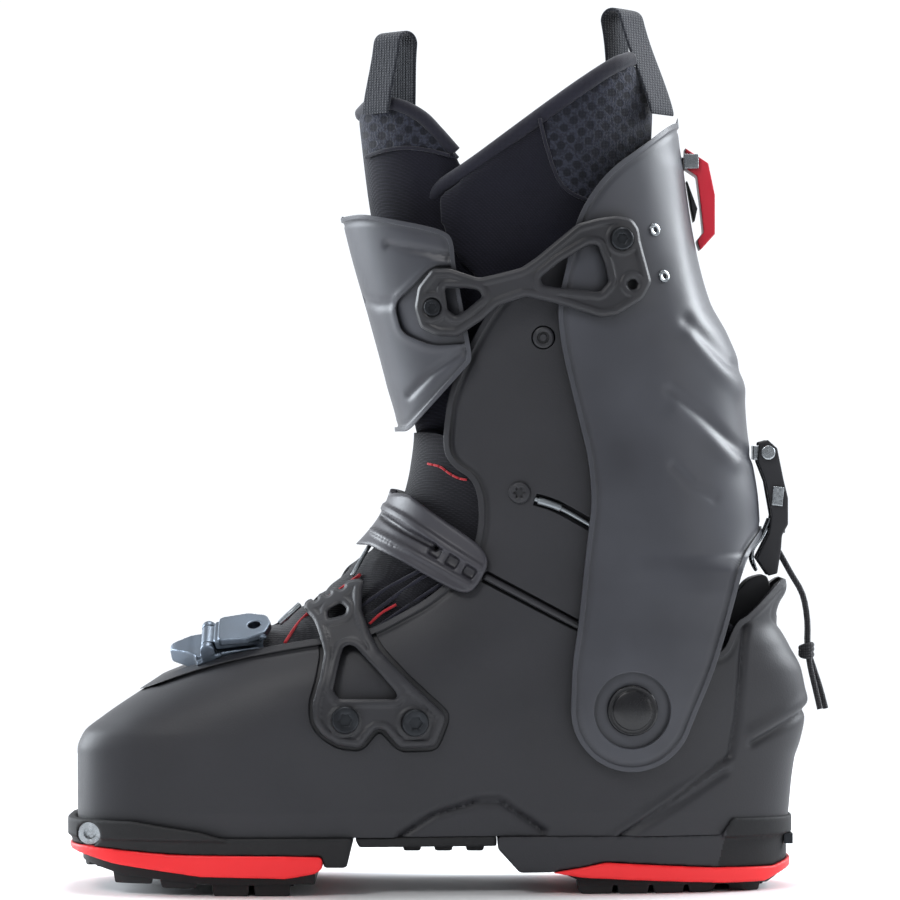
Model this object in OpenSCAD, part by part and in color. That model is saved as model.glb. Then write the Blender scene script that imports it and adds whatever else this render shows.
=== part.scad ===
// Alpine touring ski boot, right foot, in millimetres.
// Toe towards -X, sole on Z = 0, medial side towards -Y, cuff pivot axis along Y.

/* [Shell] */
// Wall thickness of the lower shell
shell_wall = 4.5; // [3.5:0.5:5]
// Widest half width of the shell, at the ball of the foot
ball_half = 58; // [55:1:60]
// Half width of the shell at the ankle
ankle_half = 45; // [44:1:47]
// Height of the shell's floor above the ground
floor_z = 24; // [22:1:25]

/* [Cuff] */
// Clearance between the shell and the cuff that turns over it
cuff_gap = 1.8; // [1.5:0.1:2.2]
// Wall thickness of the cuff
cuff_wall = 4; // [3:0.5:4.5]
// Wall thickness of the shin plate
plate_wall = 3.2; // [2.5:0.1:3.6]
// Thickness of the cross-shaped link
link_wall = 4; // [3:0.5:4.5]

/* [Pivots] */
// Radius of the cuff rivet's shank
rivet_r = 7; // [6:0.5:8]
// Radius of the cuff rivet's domed cap
rivet_cap_r = 10.4; // [9.5:0.1:11]
// Radius of the hinge pins in the buckles and levers
pin_r = 1.8; // [1.5:0.1:2.2]
// Radial running clearance round every hinge pin
pin_fit = 0.08; // [0.05:0.01:0.1]

/* [Sole] */
// Radius of the pin sockets at the toe
socket_r = 2.5; // [2.4:0.05:2.6]
// Depth of the pin sockets at the toe
socket_depth = 4; // [3:0.5:5]
// Height of the rubber lugs under the middle of the foot
lug_h = 3; // [2:0.5:4]

/* [Liner] */
// Wall thickness of the padded liner
liner_wall = 7; // [6:0.5:8]
// Thickness of the webbing pull loops
webbing = 2; // [1.5:0.1:2.4]

/* [Cord] */
// Diameter of the release cord
cord_d = 2.4; // [2.2:0.1:2.6]

/* [Hidden] */

round_fn = 32;
ring_n = 40;
eps = 0.01;
rim_slot = 23;
pivot = [81, 76];           // x and z of the cuff pivot
link_pin = [76.5, 269];     // x and z of the cross link's rear bolt
lever_pin = [139.3, 181.6]; // x and z of the walk lever's rivet
hook_pin = [108.3, 303.6];  // x and z of the rear hook's pin
cuff_lean_max = 6;          // how far the cuff leans forward, in degrees
cap_gap = 1.1;              // gap between the cuff and the cap of its rivet
cap_h = 2.2;                // height of the rivet's cap
screw_x = [-94, -54.5];     // places of the sole screws along the boot
screw_y = 22;               // and to each side of its middle
nut_at = [[86.6, 272.6], [90.6, 253.2]]; // x and z of the cuff's two nuts
plug_at = [44.5, 228.9];    // x and z of the round plug in the shell's wing
anchor_at = [34.8, 165.2];  // x and z of the cable's star-headed anchor
toe_insert_at = [-142.6, 24.5]; // x and z of the bar with the toe sockets

// ---------------------------------------------------------------- body form
// The boot's outer form is a stack of level rings. Each height has a front x, a
// back x, the x of its widest point and a half width.
FRONT = [[12, -146], [24, -149], [58, -149.5], [65, -147], [71, -140], [83, -122],
         [97, -99.5], [105, -83], [112, -67], [122, -51.5], [134, -38], [144, -27],
         [155, -19], [165, -15], [176, -12.5], [190, -11], [212, -16], [245, -25],
         [279, -33.5], [300, -38], [330, -44]];
BACK = [[12, 144], [24, 146], [54, 149.5], [62, 152], [70, 153.6], [80, 154], [90, 152.5],
        [101, 147], [112, 142], [119, 143.5], [126, 147], [132, 147], [140, 132], [165, 129.5], [190, 125.3],
        [214, 123.2], [231, 117], [245, 109.5], [272, 102.5], [301, 98], [330, 94.5]];
WIDEST = [[12, 10], [60, 20], [90, 55], [130, 66], [200, 60], [260, 44], [330, 30]];
FORE_N = [[12, 4], [60, 3.7], [100, 2.9], [150, 2.4], [330, 2.3]];
REAR_N = [[12, 3.2], [100, 2.9], [150, 2.5], [330, 2.3]];
FOOT_HALF = [[-150, ball_half - 9], [-120, ball_half - 3], [-75, ball_half], [-40, ball_half - 2],
             [0, 50], [40, ankle_half + 1], [80, ankle_half], [120, 41], [155, 38]];
SHAFT_HALF = [[90, ankle_half], [150, ankle_half], [200, ankle_half + 0.5], [250, 48],
              [300, 50.5], [330, 51.5]];
BIAS = [[-150, -4], [-100, 0], [-50, 2], [0, 0]];

function ease(t) = let (c = min(1, max(0, t))) c * c * (3 - 2 * c);
function mid_y(x) = lookup(x, BIAS);
// Half width of the foot at x and of the shaft at z, blended over the ankle
function half_at(x, z) =
    let (k = ease((z - 85) / 45))
    (1 - k) * lookup(x, FOOT_HALF) * (z < 34 ? 0.96 + 0.04 * (z - 12) / 22 : 1)
    + k * lookup(z, SHAFT_HALF);
// Outward shift that gives a sloping front the same wall as an upright one
function front_shift(z, off) =
    let (rise = (lookup(z + 3, FRONT) - lookup(z - 3, FRONT)) / 6)
    off * min(2.4, sqrt(1 + rise * rise));
function ring_front(z, off) = lookup(z, FRONT) - front_shift(z, off);
function ring_back(z, off) = lookup(z, BACK) + off;
function power(v, p) = sign(v) * pow(abs(v), p);
function ring_x(z, off, t) =
    let (c = lookup(z, WIDEST))
    cos(t) >= 0
        ? c + (ring_back(z, off) - c) * power(cos(t), 2 / lookup(z, REAR_N))
        : c + (c - ring_front(z, off)) * power(cos(t), 2 / lookup(z, FORE_N));
function ring_y(z, off, t, x) =
    (half_at(x, z) + off) * power(sin(t), 2 / lookup(z, cos(t) >= 0 ? REAR_N : FORE_N)) + mid_y(x);
function ring(z, off, n = ring_n) =
    [for (i = [0:n - 1]) let (t = 360 * i / n, x = ring_x(z, off, t)) [x, ring_y(z, off, t, x)]];
// Distance from the middle plane to the surface, at a place in the side view
function side_y(x, z, off = 0) =
    let (c = lookup(z, WIDEST),
         n = lookup(z, x >= c ? REAR_N : FORE_N),
         reach = x >= c ? ring_back(z, off) - c : c - ring_front(z, off),
         u = min(0.999, abs(x - c) / reach))
    (half_at(x, z) + off) * pow(1 - pow(u, n), 1 / n);

// Closed solid over level rings of n points each, given from the lowest up
module stacked(points, levels, n) {
    sides = [for (k = [0:levels - 1]) for (i = [0:n - 1])
        let (a = k * n + i, b = k * n + (i + 1) % n)
        each [[a, b + n, b], [a, a + n, b + n]]];
    polyhedron(points, concat(sides, [[for (i = [0:n - 1]) i]],
                              [[for (i = [0:n - 1]) levels * n + n - 1 - i]]));
}
// Solid between two heights, grown by off
module form(off, z_low, z_high, n = ring_n, step = 7) {
    levels = max(2, ceil((z_high - z_low) / step));
    zs = [for (k = [0:levels]) z_low + (z_high - z_low) * k / levels];
    points = [for (z = zs) for (p = ring(z, off, n)) [p.x, p.y, z]];
    stacked(points, levels, n);
}
// Wall between two offsets of the form; the floor is kept when z_floor is above z_low
module wall(inner, outer, z_low, z_high, z_floor = undef, n = ring_n, step = 7) {
    difference() {
        form(outer, z_low, z_high, n, step);
        form(inner, is_undef(z_floor) ? z_low - 1 : z_floor, z_high + 1, n, step);
    }
}
// Extrusion of a side-view outline across the boot: side -1 medial, 1 lateral, 0 both
module across(outline, side = 0, reach = 90, from = 0) {
    low = side == -1 ? -reach : (side == 1 ? from : -reach);
    depth = side == 0 ? 2 * reach : reach - from;
    translate([0, low + depth, 0]) rotate([90, 0, 0]) linear_extrude(depth) polygon(outline);
}
// One mesh from a carved wall
module carved() resize([0, 0, 0]) children();

// Places its children on the surface, raised by lift, with local +Z pointing out of the boot
module on_side(x, z, side = -1, off = 0, lift = 0) {
    lean_x = atan((side_y(x + 2, z) - side_y(x - 2, z)) / 4);
    lean_z = atan((side_y(x, z + 2) - side_y(x, z - 2)) / 4);
    translate([x, mid_y(x) + side * side_y(x, z, off), z])
        mirror([0, side > 0 ? 1 : 0, 0])
        rotate([0, 0, -lean_x]) rotate([lean_z, 0, 0]) rotate([90, 0, 0]) translate([0, 0, lift]) children();
}
// Cylinder along Y between two y values
module bar_y(r, y0, y1)
    translate([0, y0, 0]) rotate([-90, 0, 0]) cylinder(r = r, h = y1 - y0, $fn = round_fn);

// Round tube along a list of points
function dir(a, b) = (b - a) / norm(b - a);
function tangent(path, i) =
    let (n = len(path), a = path[max(0, i - 1)], b = path[min(n - 1, i + 1)]) dir(a, b);
module tube(path, r, n = 8) {
    last = len(path) - 1;
    points = [for (i = [0:last])
        let (t = tangent(path, i),
             side = dir([0, 0, 0], cross(t, abs(t.y) < 0.8 ? [0, 1, 0] : [1, 0, 0])),
             up = cross(side, t))
        for (k = [0:n - 1]) path[i] + r * (cos(360 * k / n) * side + sin(360 * k / n) * up)];
    sides = [for (i = [0:last - 1]) for (k = [0:n - 1])
        let (a = i * n + k, b = i * n + (k + 1) % n)
        each [[a, b, b + n], [a, b + n, a + n]]];
    polyhedron(points, concat(sides, [[for (k = [0:n - 1]) n - 1 - k]],
                              [[for (k = [0:n - 1]) last * n + k]]));
}
// Points on a Catmull-Rom curve through hand-set points
function spline(p, steps) =
    [for (i = [0:len(p) - 2]) for (k = [0:steps - 1])
        let (t = k / steps, a = p[max(0, i - 1)], b = p[i], c = p[i + 1], d = p[min(len(p) - 1, i + 2)])
        0.5 * (2 * b + (c - a) * t + (2 * a - 5 * b + 4 * c - d) * t * t
               + (3 * b - a - 3 * c + d) * t * t * t),
     p[len(p) - 1]];
// Point of a cable at a place in the side view, off the surface
function on_form(x, z, off, side = -1) = [x, mid_y(x) + side * side_y(x, z, off), z];

// ---------------------------------------------------------------- outlines
SHELL_SIDE = [[-160, 10], [-160, 72], [-100, 94], [-82, 99], [-56, 104], [-28, 108], [-2, 122],
              [14, 137], [18, 150], [18, 163], [15, 171], [8, 175], [3, 182], [4, 196], [6, 208],
              [14, 226], [22, 240], [36, 257], [50, 262], [57, 264], [63, 240],
              [71, 185], [73, 130], [81, 108], [102, 108], [118, 96], [124, 112], [129.5, 114],
              [146.3, 131.5], [147, 124], [143, 118], [142, 112], [160, 105], [160, 10]];
CUFF_SIDE = [[102, 319.5], [98, 318], [85, 307.5], [73, 299], [64.5, 289], [58, 277.5], [50, 241],
             [52, 224], [57, 203.5], [63, 179], [64.5, 162], [61, 137], [57, 112], [54, 95],
             each [for (a = [160:20:340]) [pivot.x + 25.3 * cos(a), pivot.y + 25.3 * sin(a)]],
             [109, 78], [114.5, 91], [120.5, 110], [127, 135], [134, 145], [145, 156], [145, 240],
             [120, 330], [102, 330]];
PLATE_SIDE = [[-60, 279], [-38, 280], [-30, 280.5], [-5, 275], [4, 272.5], [7.5, 269], [8.3, 258.5],
              [14, 228], [15.4, 220], [13, 217], [-11, 190.5], [-14.5, 190.5], [-60, 190.5]];
LINK_SIDE = [[-1, 257], [6, 257], [18, 253], [25, 254.5], [35, 257], [41, 261], [58, 275],
             [67, 277.5], [74.5, 278.5], [80.5, 277.5], [83.5, 273.5], [84.3, 268], [88.8, 251.5],
             [85, 244.5], [74.5, 238], [67.5, 237], [50, 242.5], [37, 245.5], [25.5, 241.5],
             [19.5, 236], [9, 229], [1, 229.5], [-6, 233], [-8.4, 241], [-7, 249.5]];
LINK_FRONT_WINDOW = [[4, 249], [12.7, 249], [18, 248], [19.5, 245.5], [12.7, 240], [8.8, 237.5], [5.3, 240]];
LINK_REAR_WINDOW = [[43, 253], [51, 259.5], [62.7, 266.5], [66.5, 266.5], [69.5, 258.5], [71, 251.5],
                    [67.5, 247.5], [50, 249], [44, 250]];
STRAP_SIDE = [[-20, 165], [-10.5, 164.5], [-8.5, 162.5], [-1, 157], [16, 145.5], [20.5, 141], [22, 136.5],
              [20.5, 132.5], [18, 128], [15, 124.3], [10.5, 124], [2, 128], [-15, 137.5], [-23, 141],
              [-28, 143.5], [-36, 143]];
RACK_SIDE = [[-54.4, 119.5], [-46.6, 123.6], [-40.7, 126], [-36.6, 128.3], [-31.4, 129.4],
             [-29, 128.5], [-30.2, 125.9], [-30.2, 116.6], [-26.7, 107.8], [-23, 101], [-11.5, 89],
             [3.9, 74.8], [4.2, 72], [0.7, 63], [-1, 61.1], [-14, 60.8], [-21, 68.7], [-24.4, 68.7],
             [-30.5, 61.1], [-39.5, 62.3], [-46, 66.4], [-49.5, 71.6], [-50, 79], [-47, 89.7],
             [-45.4, 99.7], [-47.7, 107], [-50, 112.5], [-54.4, 116.6]];
RACK_WINDOW = [[-34.9, 103], [-32.5, 102], [-23, 92], [-15.6, 83.3], [-15.6, 81], [-39, 81],
               [-41.6, 84.5], [-39, 96.7], [-37.5, 102]];
GAITER_SIDE = [[-112, 86], [-110, 110], [-60, 135], [-35, 155], [-30, 190], [5, 190], [12, 178],
               [21, 168], [22, 148], [17, 133], [0, 117], [-28, 104], [-58, 100], [-84, 95]];
LEVER_SIDE = [[135.7, 186], [139.3, 187], [143.3, 183.5], [145.8, 171], [147.8, 162.7], [147.8, 151.6],
              [145.3, 147], [144.8, 140.5], [143.3, 131], [139.5, 130], [134.5, 137.5], [139.8, 148],
              [140.8, 155.5], [138.3, 169.5], [135, 178]];
HOOK_SIDE = [[104.8, 309.3], [114.5, 302.9], [117.2, 290], [117.2, 273.2], [111, 266.3], [109.7, 270.5],
             [112.4, 274], [111.3, 285], [109.7, 297.5], [104.5, 301]];
WEDGE_SIDE = [[105.2, 297], [110, 284], [108.6, 277.5], [107.4, 283.6]];

// ---------------------------------------------------------------- lower shell
module lower_shell() color("#3b3b40") carved() difference() {
    intersection() {
        wall(-shell_wall, 0, floor_z, 290, floor_z + shell_wall);
        across(SHELL_SIDE);
    }
    // slot in the heel rim for the foot of the walk lever
    translate([126, -rim_slot / 2, 116]) cube([40, rim_slot, 40]);
    for (side = [-1, 1]) rivet_holes(rivet_r + 0.3, side);
    cable_channels();
    on_side(plug_at.x, plug_at.y, -1, 0, -shell_wall - 1) cylinder(r = 4.8, h = 9, $fn = 24);
    on_side(anchor_at.x, anchor_at.y, -1, 0, -0.9) cylinder(r = 4.8, h = 9, $fn = 24);
    rack_pocket();
    insert_bore();
    // open shin: nothing of the wings stands in front of the tongue
    translate([-60, -30, 176]) cube([66, 60, 130]);
    lean_relief();
}
// room for the cuff to lean forward: the wings stay inside its inner face all the way
module lean_relief() difference() {
    across([[20, 112], [100, 112], [100, 300], [20, 300]]);
    at_pivot() rotate([0, -cuff_lean_max, 0]) translate([-pivot.x, 0, -pivot.y])
        form(cuff_gap - 0.4, 80, 330);
}
module at_pivot() translate([pivot.x, 0, pivot.y]) children();
module rivet_holes(r, side)
    translate([pivot.x, 0, pivot.y]) bar_y(r, side < 0 ? -70 : 30, side < 0 ? -30 : 70);
module cable_channels() {
    for (route = [ANCHOR_ROUTE, INSTEP_ROUTE]) tube([for (p = route) on_form(p.x, p.y, -0.4)], 2.2);
}
module rack_pocket() intersection() {
    wall(-1.2, 3, 58, 110, undef, ring_n, 5);
    across(RACK_SIDE, -1);
}
// seat of the steel bar that holds the toe sockets
module insert_bore() translate([toe_insert_at.x, 0, toe_insert_at.y]) bar_y(4.9, -50, 50);
ANCHOR_ROUTE = [[41, 162.5], [50, 159.5], [62, 153], [72, 147]];
INSTEP_ROUTE = [[20, 131], [38, 121.5], [57, 111.5], [66, 107]];

module boot_board() color("#2b2b2f") translate([0, 0, floor_z + shell_wall + 0.3]) intersection() {
    linear_extrude(3) polygon(ring(45, -shell_wall - 1.5, 28));
    translate([-139, -60, 0]) cube([279, 120, 3]);
}

// ---------------------------------------------------------------- sole
// Plan of the sole, grown by off, cut to a side-view outline
module sole_piece(outline, off) intersection() {
    across(outline);
    linear_extrude(60) polygon(ring(26, off, 36));
}
TOE_BLOCK = [[-160, 20.8], [-108, 17.3], [-58, 16.8], [-46.1, 16.6], [-45.4, 12], [-36, 12],
             [-34, floor_z - eps], [-160, floor_z - eps]];
module toe_sole_block() color("#161618") difference() {
    union() {
        sole_piece(TOE_BLOCK, 2.5);
        // raised rim round the toe that holds the pin sockets
        difference() {
            sole_piece([[-160, floor_z - 1], [-84, floor_z - 1], [-96, 26], [-124, 30], [-160, 30.3]], 4.2);
            linear_extrude(60) polygon(ring(26, 0.4, 36));
        }
    }
    insert_bore();
}
module toe_red_band() color("#f03a3a") sole_piece(
    [[-160, 19.8], [-132, 12.9], [-96, 8.3], [-60, 7.6], [-48.7, 9.6], [-45.6, 12], [-46.2, 16.5],
     [-58, 16.8 - eps], [-108, 17.3 - eps], [-160, 20.8 - eps]], 3.2);
module tread_lugs(spans, z_top, half, off) {
    for (s = spans) intersection() {
        translate([s[0], -half, s[2]]) cube([s[1] - s[0], 2 * half, z_top - s[2] + 8]);
        linear_extrude(60) polygon(ring(26, off, 36));
    }
}
module toe_tread() color("#121214") difference() {
    union() {
        tread_lugs([[-150, -142, 11.5], [-128, -98, 3.6], [-90, -60, 0]], 14, 60, -3);
        sole_piece([[-146, 15.9], [-132, 12.8], [-96, 8.2], [-60, 7.5], [-49, 9.5], [-49, 5], [-90, 4.4],
                    [-128, 8], [-150, 14]], -2);
    }
    sole_piece([[-160, 19.8], [-132, 12.9 - eps], [-96, 8.3 - eps], [-60, 7.6 - eps], [-48.7, 9.6 - eps],
                [-30, 12], [-30, 40], [-160, 40]], 6);
}
module sole_shank() color("#17171a") union() {
    sole_piece([[-31, 20], [25.4, 20], [25.4, floor_z - eps], [-33, floor_z - eps]], -1);
    for (x = [-14, -1, 12]) translate([x, -34, 20 - lug_h]) cube([9, 68, lug_h + 1]);
}
HEEL_BLOCK = [[25.8, 19], [35, 9], [47.9, 9.2], [60.3, 11.2], [70.3, 13.3], [113.6, 10.5], [140, 10],
              [151.1, 13.7], [151.1, 18], [145.5, 18.4], [145.5, floor_z - 0.6], [151.1, floor_z - 0.6],
              [156, floor_z - eps], [25.8, floor_z - eps]];
module heel_sole_block() color("#1b1b1e") union() {
    sole_piece(HEEL_BLOCK, 1);
    // side skirts that climb the shell
    difference() {
        sole_piece([[118, floor_z - 1], [158, floor_z - 1], [158, 30], [123, 30.4]], 3.2);
        linear_extrude(60) polygon(ring(26, 0.4, 36));
    }
}
module heel_red_band() color("#f03a3a") sole_piece(
    [[47.9, 9.2 - eps], [60.3, 7.1], [120, 3.9], [136.5, 3.9], [151.1, 10.4], [151.1, 13.7 - eps],
     [140, 10 - eps], [113.6, 10.5 - eps], [70.3, 13.3 - eps], [60.3, 11.2 - eps]], 2.4);
module heel_tread() color("#121214") intersection() {
    difference() {
        across([[52.5, 8.3], [62, 0.6], [73, 0], [138.6, 0], [149.5, 7.6], [149.5, 9.6], [136.5, 3.85],
                [120, 3.85], [60.3, 7.05]], 0, 60);
        for (x = [84, 101, 118]) translate([x, -60, -1]) cube([5, 120, 3.4]);
        translate([55, -9, -1]) cube([96, 18, 3]);
    }
    linear_extrude(60) polygon(ring(26, -2.6, 36));
}
module toe_insert() color("#b9c0c2") translate([toe_insert_at.x, 0, toe_insert_at.y]) difference() {
    bar_y(4.8, -34, 34);
    for (side = [-1, 1]) translate([0, side * 34, 0])
        bar_y(socket_r, side < 0 ? -eps : -socket_depth, side < 0 ? socket_depth : eps);
}
module heel_insert() color("#c2c6c8") difference() {
    translate([145.6, -16, 18.6]) cube([3.6, 32, 4.2]);
    for (side = [-1, 1]) translate([145, side * 12.5 - 1.6, 18]) cube([6, 3.2, 3.4]);
}
module sole_screws() color("#c9cccf") {
    for (x = screw_x) for (side = [-1, 1]) translate([x, side * screw_y, 3.3])
        cylinder(r = 3.2, h = 1.1, $fn = 24);
}

// ---------------------------------------------------------------- medial rack
module rack_bracket() color("#47474c") carved() difference() {
    intersection() {
        wall(0.3, 4.6, 55, 133, undef, ring_n, 5);
        across(RACK_SIDE, -1);
    }
    across(RACK_WINDOW, -1);
    across([[-44.2, 116.6], [-39, 119.5], [-36.3, 117.2], [-37.2, 114.8], [-43.9, 113.1]], -1);
    for (k = [0:4]) across([[-50 + 4.6 * k, 123 + 1.5 * k], [-46.6 + 4.6 * k, 130 + 1.5 * k],
                            [-51 + 4.6 * k, 130 + 1.5 * k]], -1);
    for (p = RACK_BOLTS) on_side(p.x, p.y, -1, 0, -2) cylinder(r = 3.4, h = 12, $fn = 24);
}
RACK_BOLTS = [[-36.9, 72.2], [-8.9, 71.3]];
module rack_bolts() color("#2c2c30") for (p = RACK_BOLTS) on_side(p.x, p.y, -1, 0, 5.7) difference() {
    union() {
        cylinder(r = 5.6, h = 1.8, $fn = round_fn);
        translate([0, 0, -5.6]) cylinder(r = 3, h = 6, $fn = round_fn);
    }
    translate([0, 0, 0.6]) cylinder(r = 2.6, h = 2, $fn = 6);
}

// ---------------------------------------------------------------- gaiter
module gaiter() color("#232127") carved() intersection() {
    wall(-8, -4.9, 84, 192, undef, ring_n, 6);
    across(GAITER_SIDE);
}

// ---------------------------------------------------------------- toe buckle
toe_axis = [-94, -27, 104.4];
toe_roll = 33;   // tilt of the buckle towards the medial side
toe_pitch = 8;   // rise of the closed lever towards the leg
toe_half = 9;
module at_toe() translate(toe_axis) rotate([toe_roll, 0, 0]) rotate([0, -toe_pitch, 0]) children();
module toe_buckle_base() color("#3c4147") at_toe() union() {
    // plate that follows the slope of the toe
    rotate([0, -20, 0]) translate([-16, -toe_half, -5.4]) cube([20, 2 * toe_half, 2.1]);
    for (s = [-toe_half, toe_half - buckle_ear]) {
        translate([-3, s, -4.4]) cube([6, buckle_ear, 4.4]);
        translate([0, s, 0]) bar_y(3, 0, buckle_ear);
    }
    bar_y(pin_r, -toe_half, toe_half);
}
module toe_buckle_lever() color("#4a5058") at_toe() difference() {
    union() {
        bar_y(2.9, -5.7, 5.7);
        translate([0, -5.7, -1]) cube([9, 11.4, 3.6]);
        translate([5, 0, 1.4]) linear_extrude(3.2) offset(2) offset(-2)
            polygon([[0, -8], [12, -9], [20, -6], [22, 0], [20, 6], [12, 9], [0, 8]]);
    }
    bar_y(pin_r + pin_fit, -12, 12);
    translate([20, 0, -5]) cylinder(r = 2.6, h = 14, $fn = round_fn);
}
module toe_cable() color("#85888c")
    tube(spline([[-64.5, -27.5, 111], [-62, -28, 113.4], [-59, -28, 116], [-56.2, -26.5, 118.6]], 3), 1.3);

// ---------------------------------------------------------------- instep strap
module instep_strap() color("#55555c") carved() difference() {
    intersection() {
        wall(1, 4.8, 118, 170, undef, ring_n, 4);
        union() {
            across(STRAP_SIDE, -1);
            across([[-50, 143], [-50, 170], [-14, 166], [-2, 158], [8, 150], [10, 142], [2, 134], [-14, 138],
                    [-28, 143]], 1, 90, -4);
        }
    }
    for (p = [[1.5, 141], [7, 137.8]]) across([for (a = [45:90:315]) p + 2 * [cos(a), sin(a)]], -1);
}
module instep_cable() color("#303034")
    tube([for (p = INSTEP_ROUTE) on_form(p.x, p.y, -0.5)], 1.6);
module instep_wire() color("#9a9da0") tube([for (p = [[-29, 141], [-32, 135], [-34.5, 130.5]])
    on_form(p.x, p.y, 1.8)], 0.9);

// Lateral buckles, each in a frame with its hinge pin along local Y at the origin and
// its lever lying towards local +X; the bail reaches forward and dips to the catch
buckle_ear = 3;
bail_wire = 1.1;
module buckle_base(half, reach) {
    translate([-6, -half, -6]) cube([reach + 6, 2 * half, 2.2]);
    for (s = [-half, half - buckle_ear]) {
        translate([-3, s, -5]) cube([6, buckle_ear, 5]);
        translate([0, s, 0]) bar_y(3, 0, buckle_ear);
    }
    bar_y(pin_r, -half, half);
}
module buckle_lever(half, long) difference() {
    union() {
        bar_y(3.2, -half + 3.3, half - 3.3);
        translate([0, -half + 3.3, -0.6]) cube([10, 2 * half - 6.6, 3.8]);
        translate([8, -half, 0.4]) cube([long - 8 - half, 2 * half, 2.8]);
        translate([long - half, 0, 0.4]) cylinder(r = half, h = 2.8, $fn = round_fn);
    }
    bar_y(pin_r + pin_fit, -half - 1, half + 1);
    translate([12, -half + 4, -2]) cube([long - 20, 2 * half - 8, 8]);
}
// Closed wire loop that turns on the lever at bail_pin
bail_pin = [5, 4.4];
module buckle_bail(half, long, drop) translate([bail_pin.x, 0, bail_pin.y])
    tube([for (p = [[0, -1, 0], [0, 1, 0], [-9, 1, 0], [-long + 3, 1, drop], [-long, 0.6, drop],
                    [-long, -0.6, drop], [-long + 3, -1, drop], [-9, -1, 0], [0, -1, 0]])
        [p.x, p.y * (half - 4.4), -p.z]], bail_wire);
module at_instep() on_side(30, 136, 1, 7.2) rotate([0, 0, -28]) children();
module instep_base() color("#37373c") at_instep() buckle_base(8, 13);
module instep_lever() color("#4b5056") at_instep() buckle_lever(8, 36);
module instep_bail() color("#b4b8bc") at_instep() buckle_bail(8, 26, 6);

// ---------------------------------------------------------------- pivots and small shell fittings
module pivot_rivets() color("#1d1d20") for (side = [-1, 1]) mirror([0, side > 0 ? 1 : 0, 0])
    translate([pivot.x, 0, pivot.y]) {
        outer = side_y(pivot.x, pivot.y, cuff_gap + cuff_wall);
        bar_y(rivet_r, -outer - 1.2, -side_y(pivot.x, pivot.y, -shell_wall) + 0.5);
        translate([0, -outer - cap_gap, 0]) rotate([90, 0, 0])
            cylinder(r1 = rivet_cap_r, r2 = rivet_cap_r - 3.4, h = cap_h, $fn = 48);
    }
module cable_anchor() color("#303035") on_side(anchor_at.x, anchor_at.y, -1, 0) difference() {
    translate([0, 0, -0.6]) cylinder(r = 4.6, h = 1.9, $fn = round_fn);
    translate([0, 0, 0.3]) cylinder(r = 2, h = 2, $fn = 6);
}
module anchor_cable() color("#a9adb1") tube([for (p = ANCHOR_ROUTE) on_form(p.x, p.y, -0.5)], 1.4);
module shell_plug() color("#2a2a2e") on_side(plug_at.x, plug_at.y, -1, 0, -3.2)
    cylinder(r = 4.5, h = 3.6, $fn = round_fn);

// ---------------------------------------------------------------- cuff
module cuff() color("#4a4b50") carved() difference() {
    intersection() {
        wall(cuff_gap, cuff_gap + cuff_wall, 45, 325);
        across(CUFF_SIDE);
    }
    for (side = [-1, 1]) rivet_holes(rivet_r + pin_fit, side);
}
module cuff_nuts() color("#c9ccce") for (p = nut_at)
    on_side(p.x, p.y, -1, cuff_gap + cuff_wall + 0.1) difference() {
        cylinder(r = 2.7, h = 0.9, $fn = 24);
        cylinder(r = 1.1, h = 2, $fn = 16);
    }
link_off = cuff_gap + cuff_wall + 1;
plate_in = cuff_gap + 0.4;           // inner face of the shin plate, off the form
plate_face = plate_in + plate_wall;  // its outer face
link_rivet = [-1, 241.2];
module x_link() color("#414146") carved() difference() {
    intersection() {
        wall(link_off, link_off + link_wall, 225, 282, undef, ring_n, 6);
        across(LINK_SIDE, -1);
    }
    across(LINK_FRONT_WINDOW, -1);
    across(LINK_REAR_WINDOW, -1);
    translate([link_pin.x, 0, link_pin.y]) bar_y(3.4 + pin_fit, -80, -30);
    translate([80.9, 0, 250.5]) bar_y(2, -80, -30);
    on_side(link_rivet.x, link_rivet.y, -1, 0, 2) cylinder(r = 3.1, h = 16, $fn = 24);
}
module x_link_bolt() color("#2a2a2d") translate([link_pin.x, 0, link_pin.y]) {
    face = side_y(link_pin.x, link_pin.y, link_off + link_wall);
    bar_y(3.4, -face - 1.4, -face + link_wall + 0.3);
    translate([0, -face - 3, 0]) bar_y(4.6, 0, 1.7);
}
module x_link_rivet() color("#2a2a2d")
    on_side(link_rivet.x, link_rivet.y, -1, 0, link_off + link_wall + 0.3) {
    translate([0, 0, -link_wall - 0.2]) cylinder(r = 2.9, h = link_wall + 0.6, $fn = round_fn);
    cylinder(r = 3.9, h = 1.4, $fn = round_fn);
}
PLATE_FAR_SIDE = [[-60, 281], [-38, 281], [-5, 275], [6, 268], [8, 240], [2, 215], [-12, 190.5],
                  [-60, 190.5]];
module shin_plate() color("#4a4b50") carved() intersection() {
    wall(plate_in, plate_face, 188, 283, undef, ring_n, 6);
    union() {
        across(PLATE_SIDE, -1);
        across(PLATE_FAR_SIDE, 1);
    }
}
module plate_ladder() color("#77797e") carved() difference() {
    intersection() {
        wall(plate_face + 0.1, plate_face + 2.4, 238, 262, undef, ring_n, 6);
        across([[-22, 244], [4, 244], [6, 256], [-20, 256]], 1);
    }
    for (x = [-17:5:0]) across([[x, 240], [x + 2, 240], [x + 3, 260], [x + 1, 260]], 1);
}
module at_cuff() on_side(66, 252, 1, cuff_gap + cuff_wall + 6.1) rotate([0, 0, 2]) children();
module cuff_base() color("#37373c") at_cuff() buckle_base(9, 18);
module cuff_lever() color("#4b5056") at_cuff() buckle_lever(9, 40);
module cuff_bail() color("#b4b8bc") at_cuff() buckle_bail(9, 66, 18);

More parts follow.
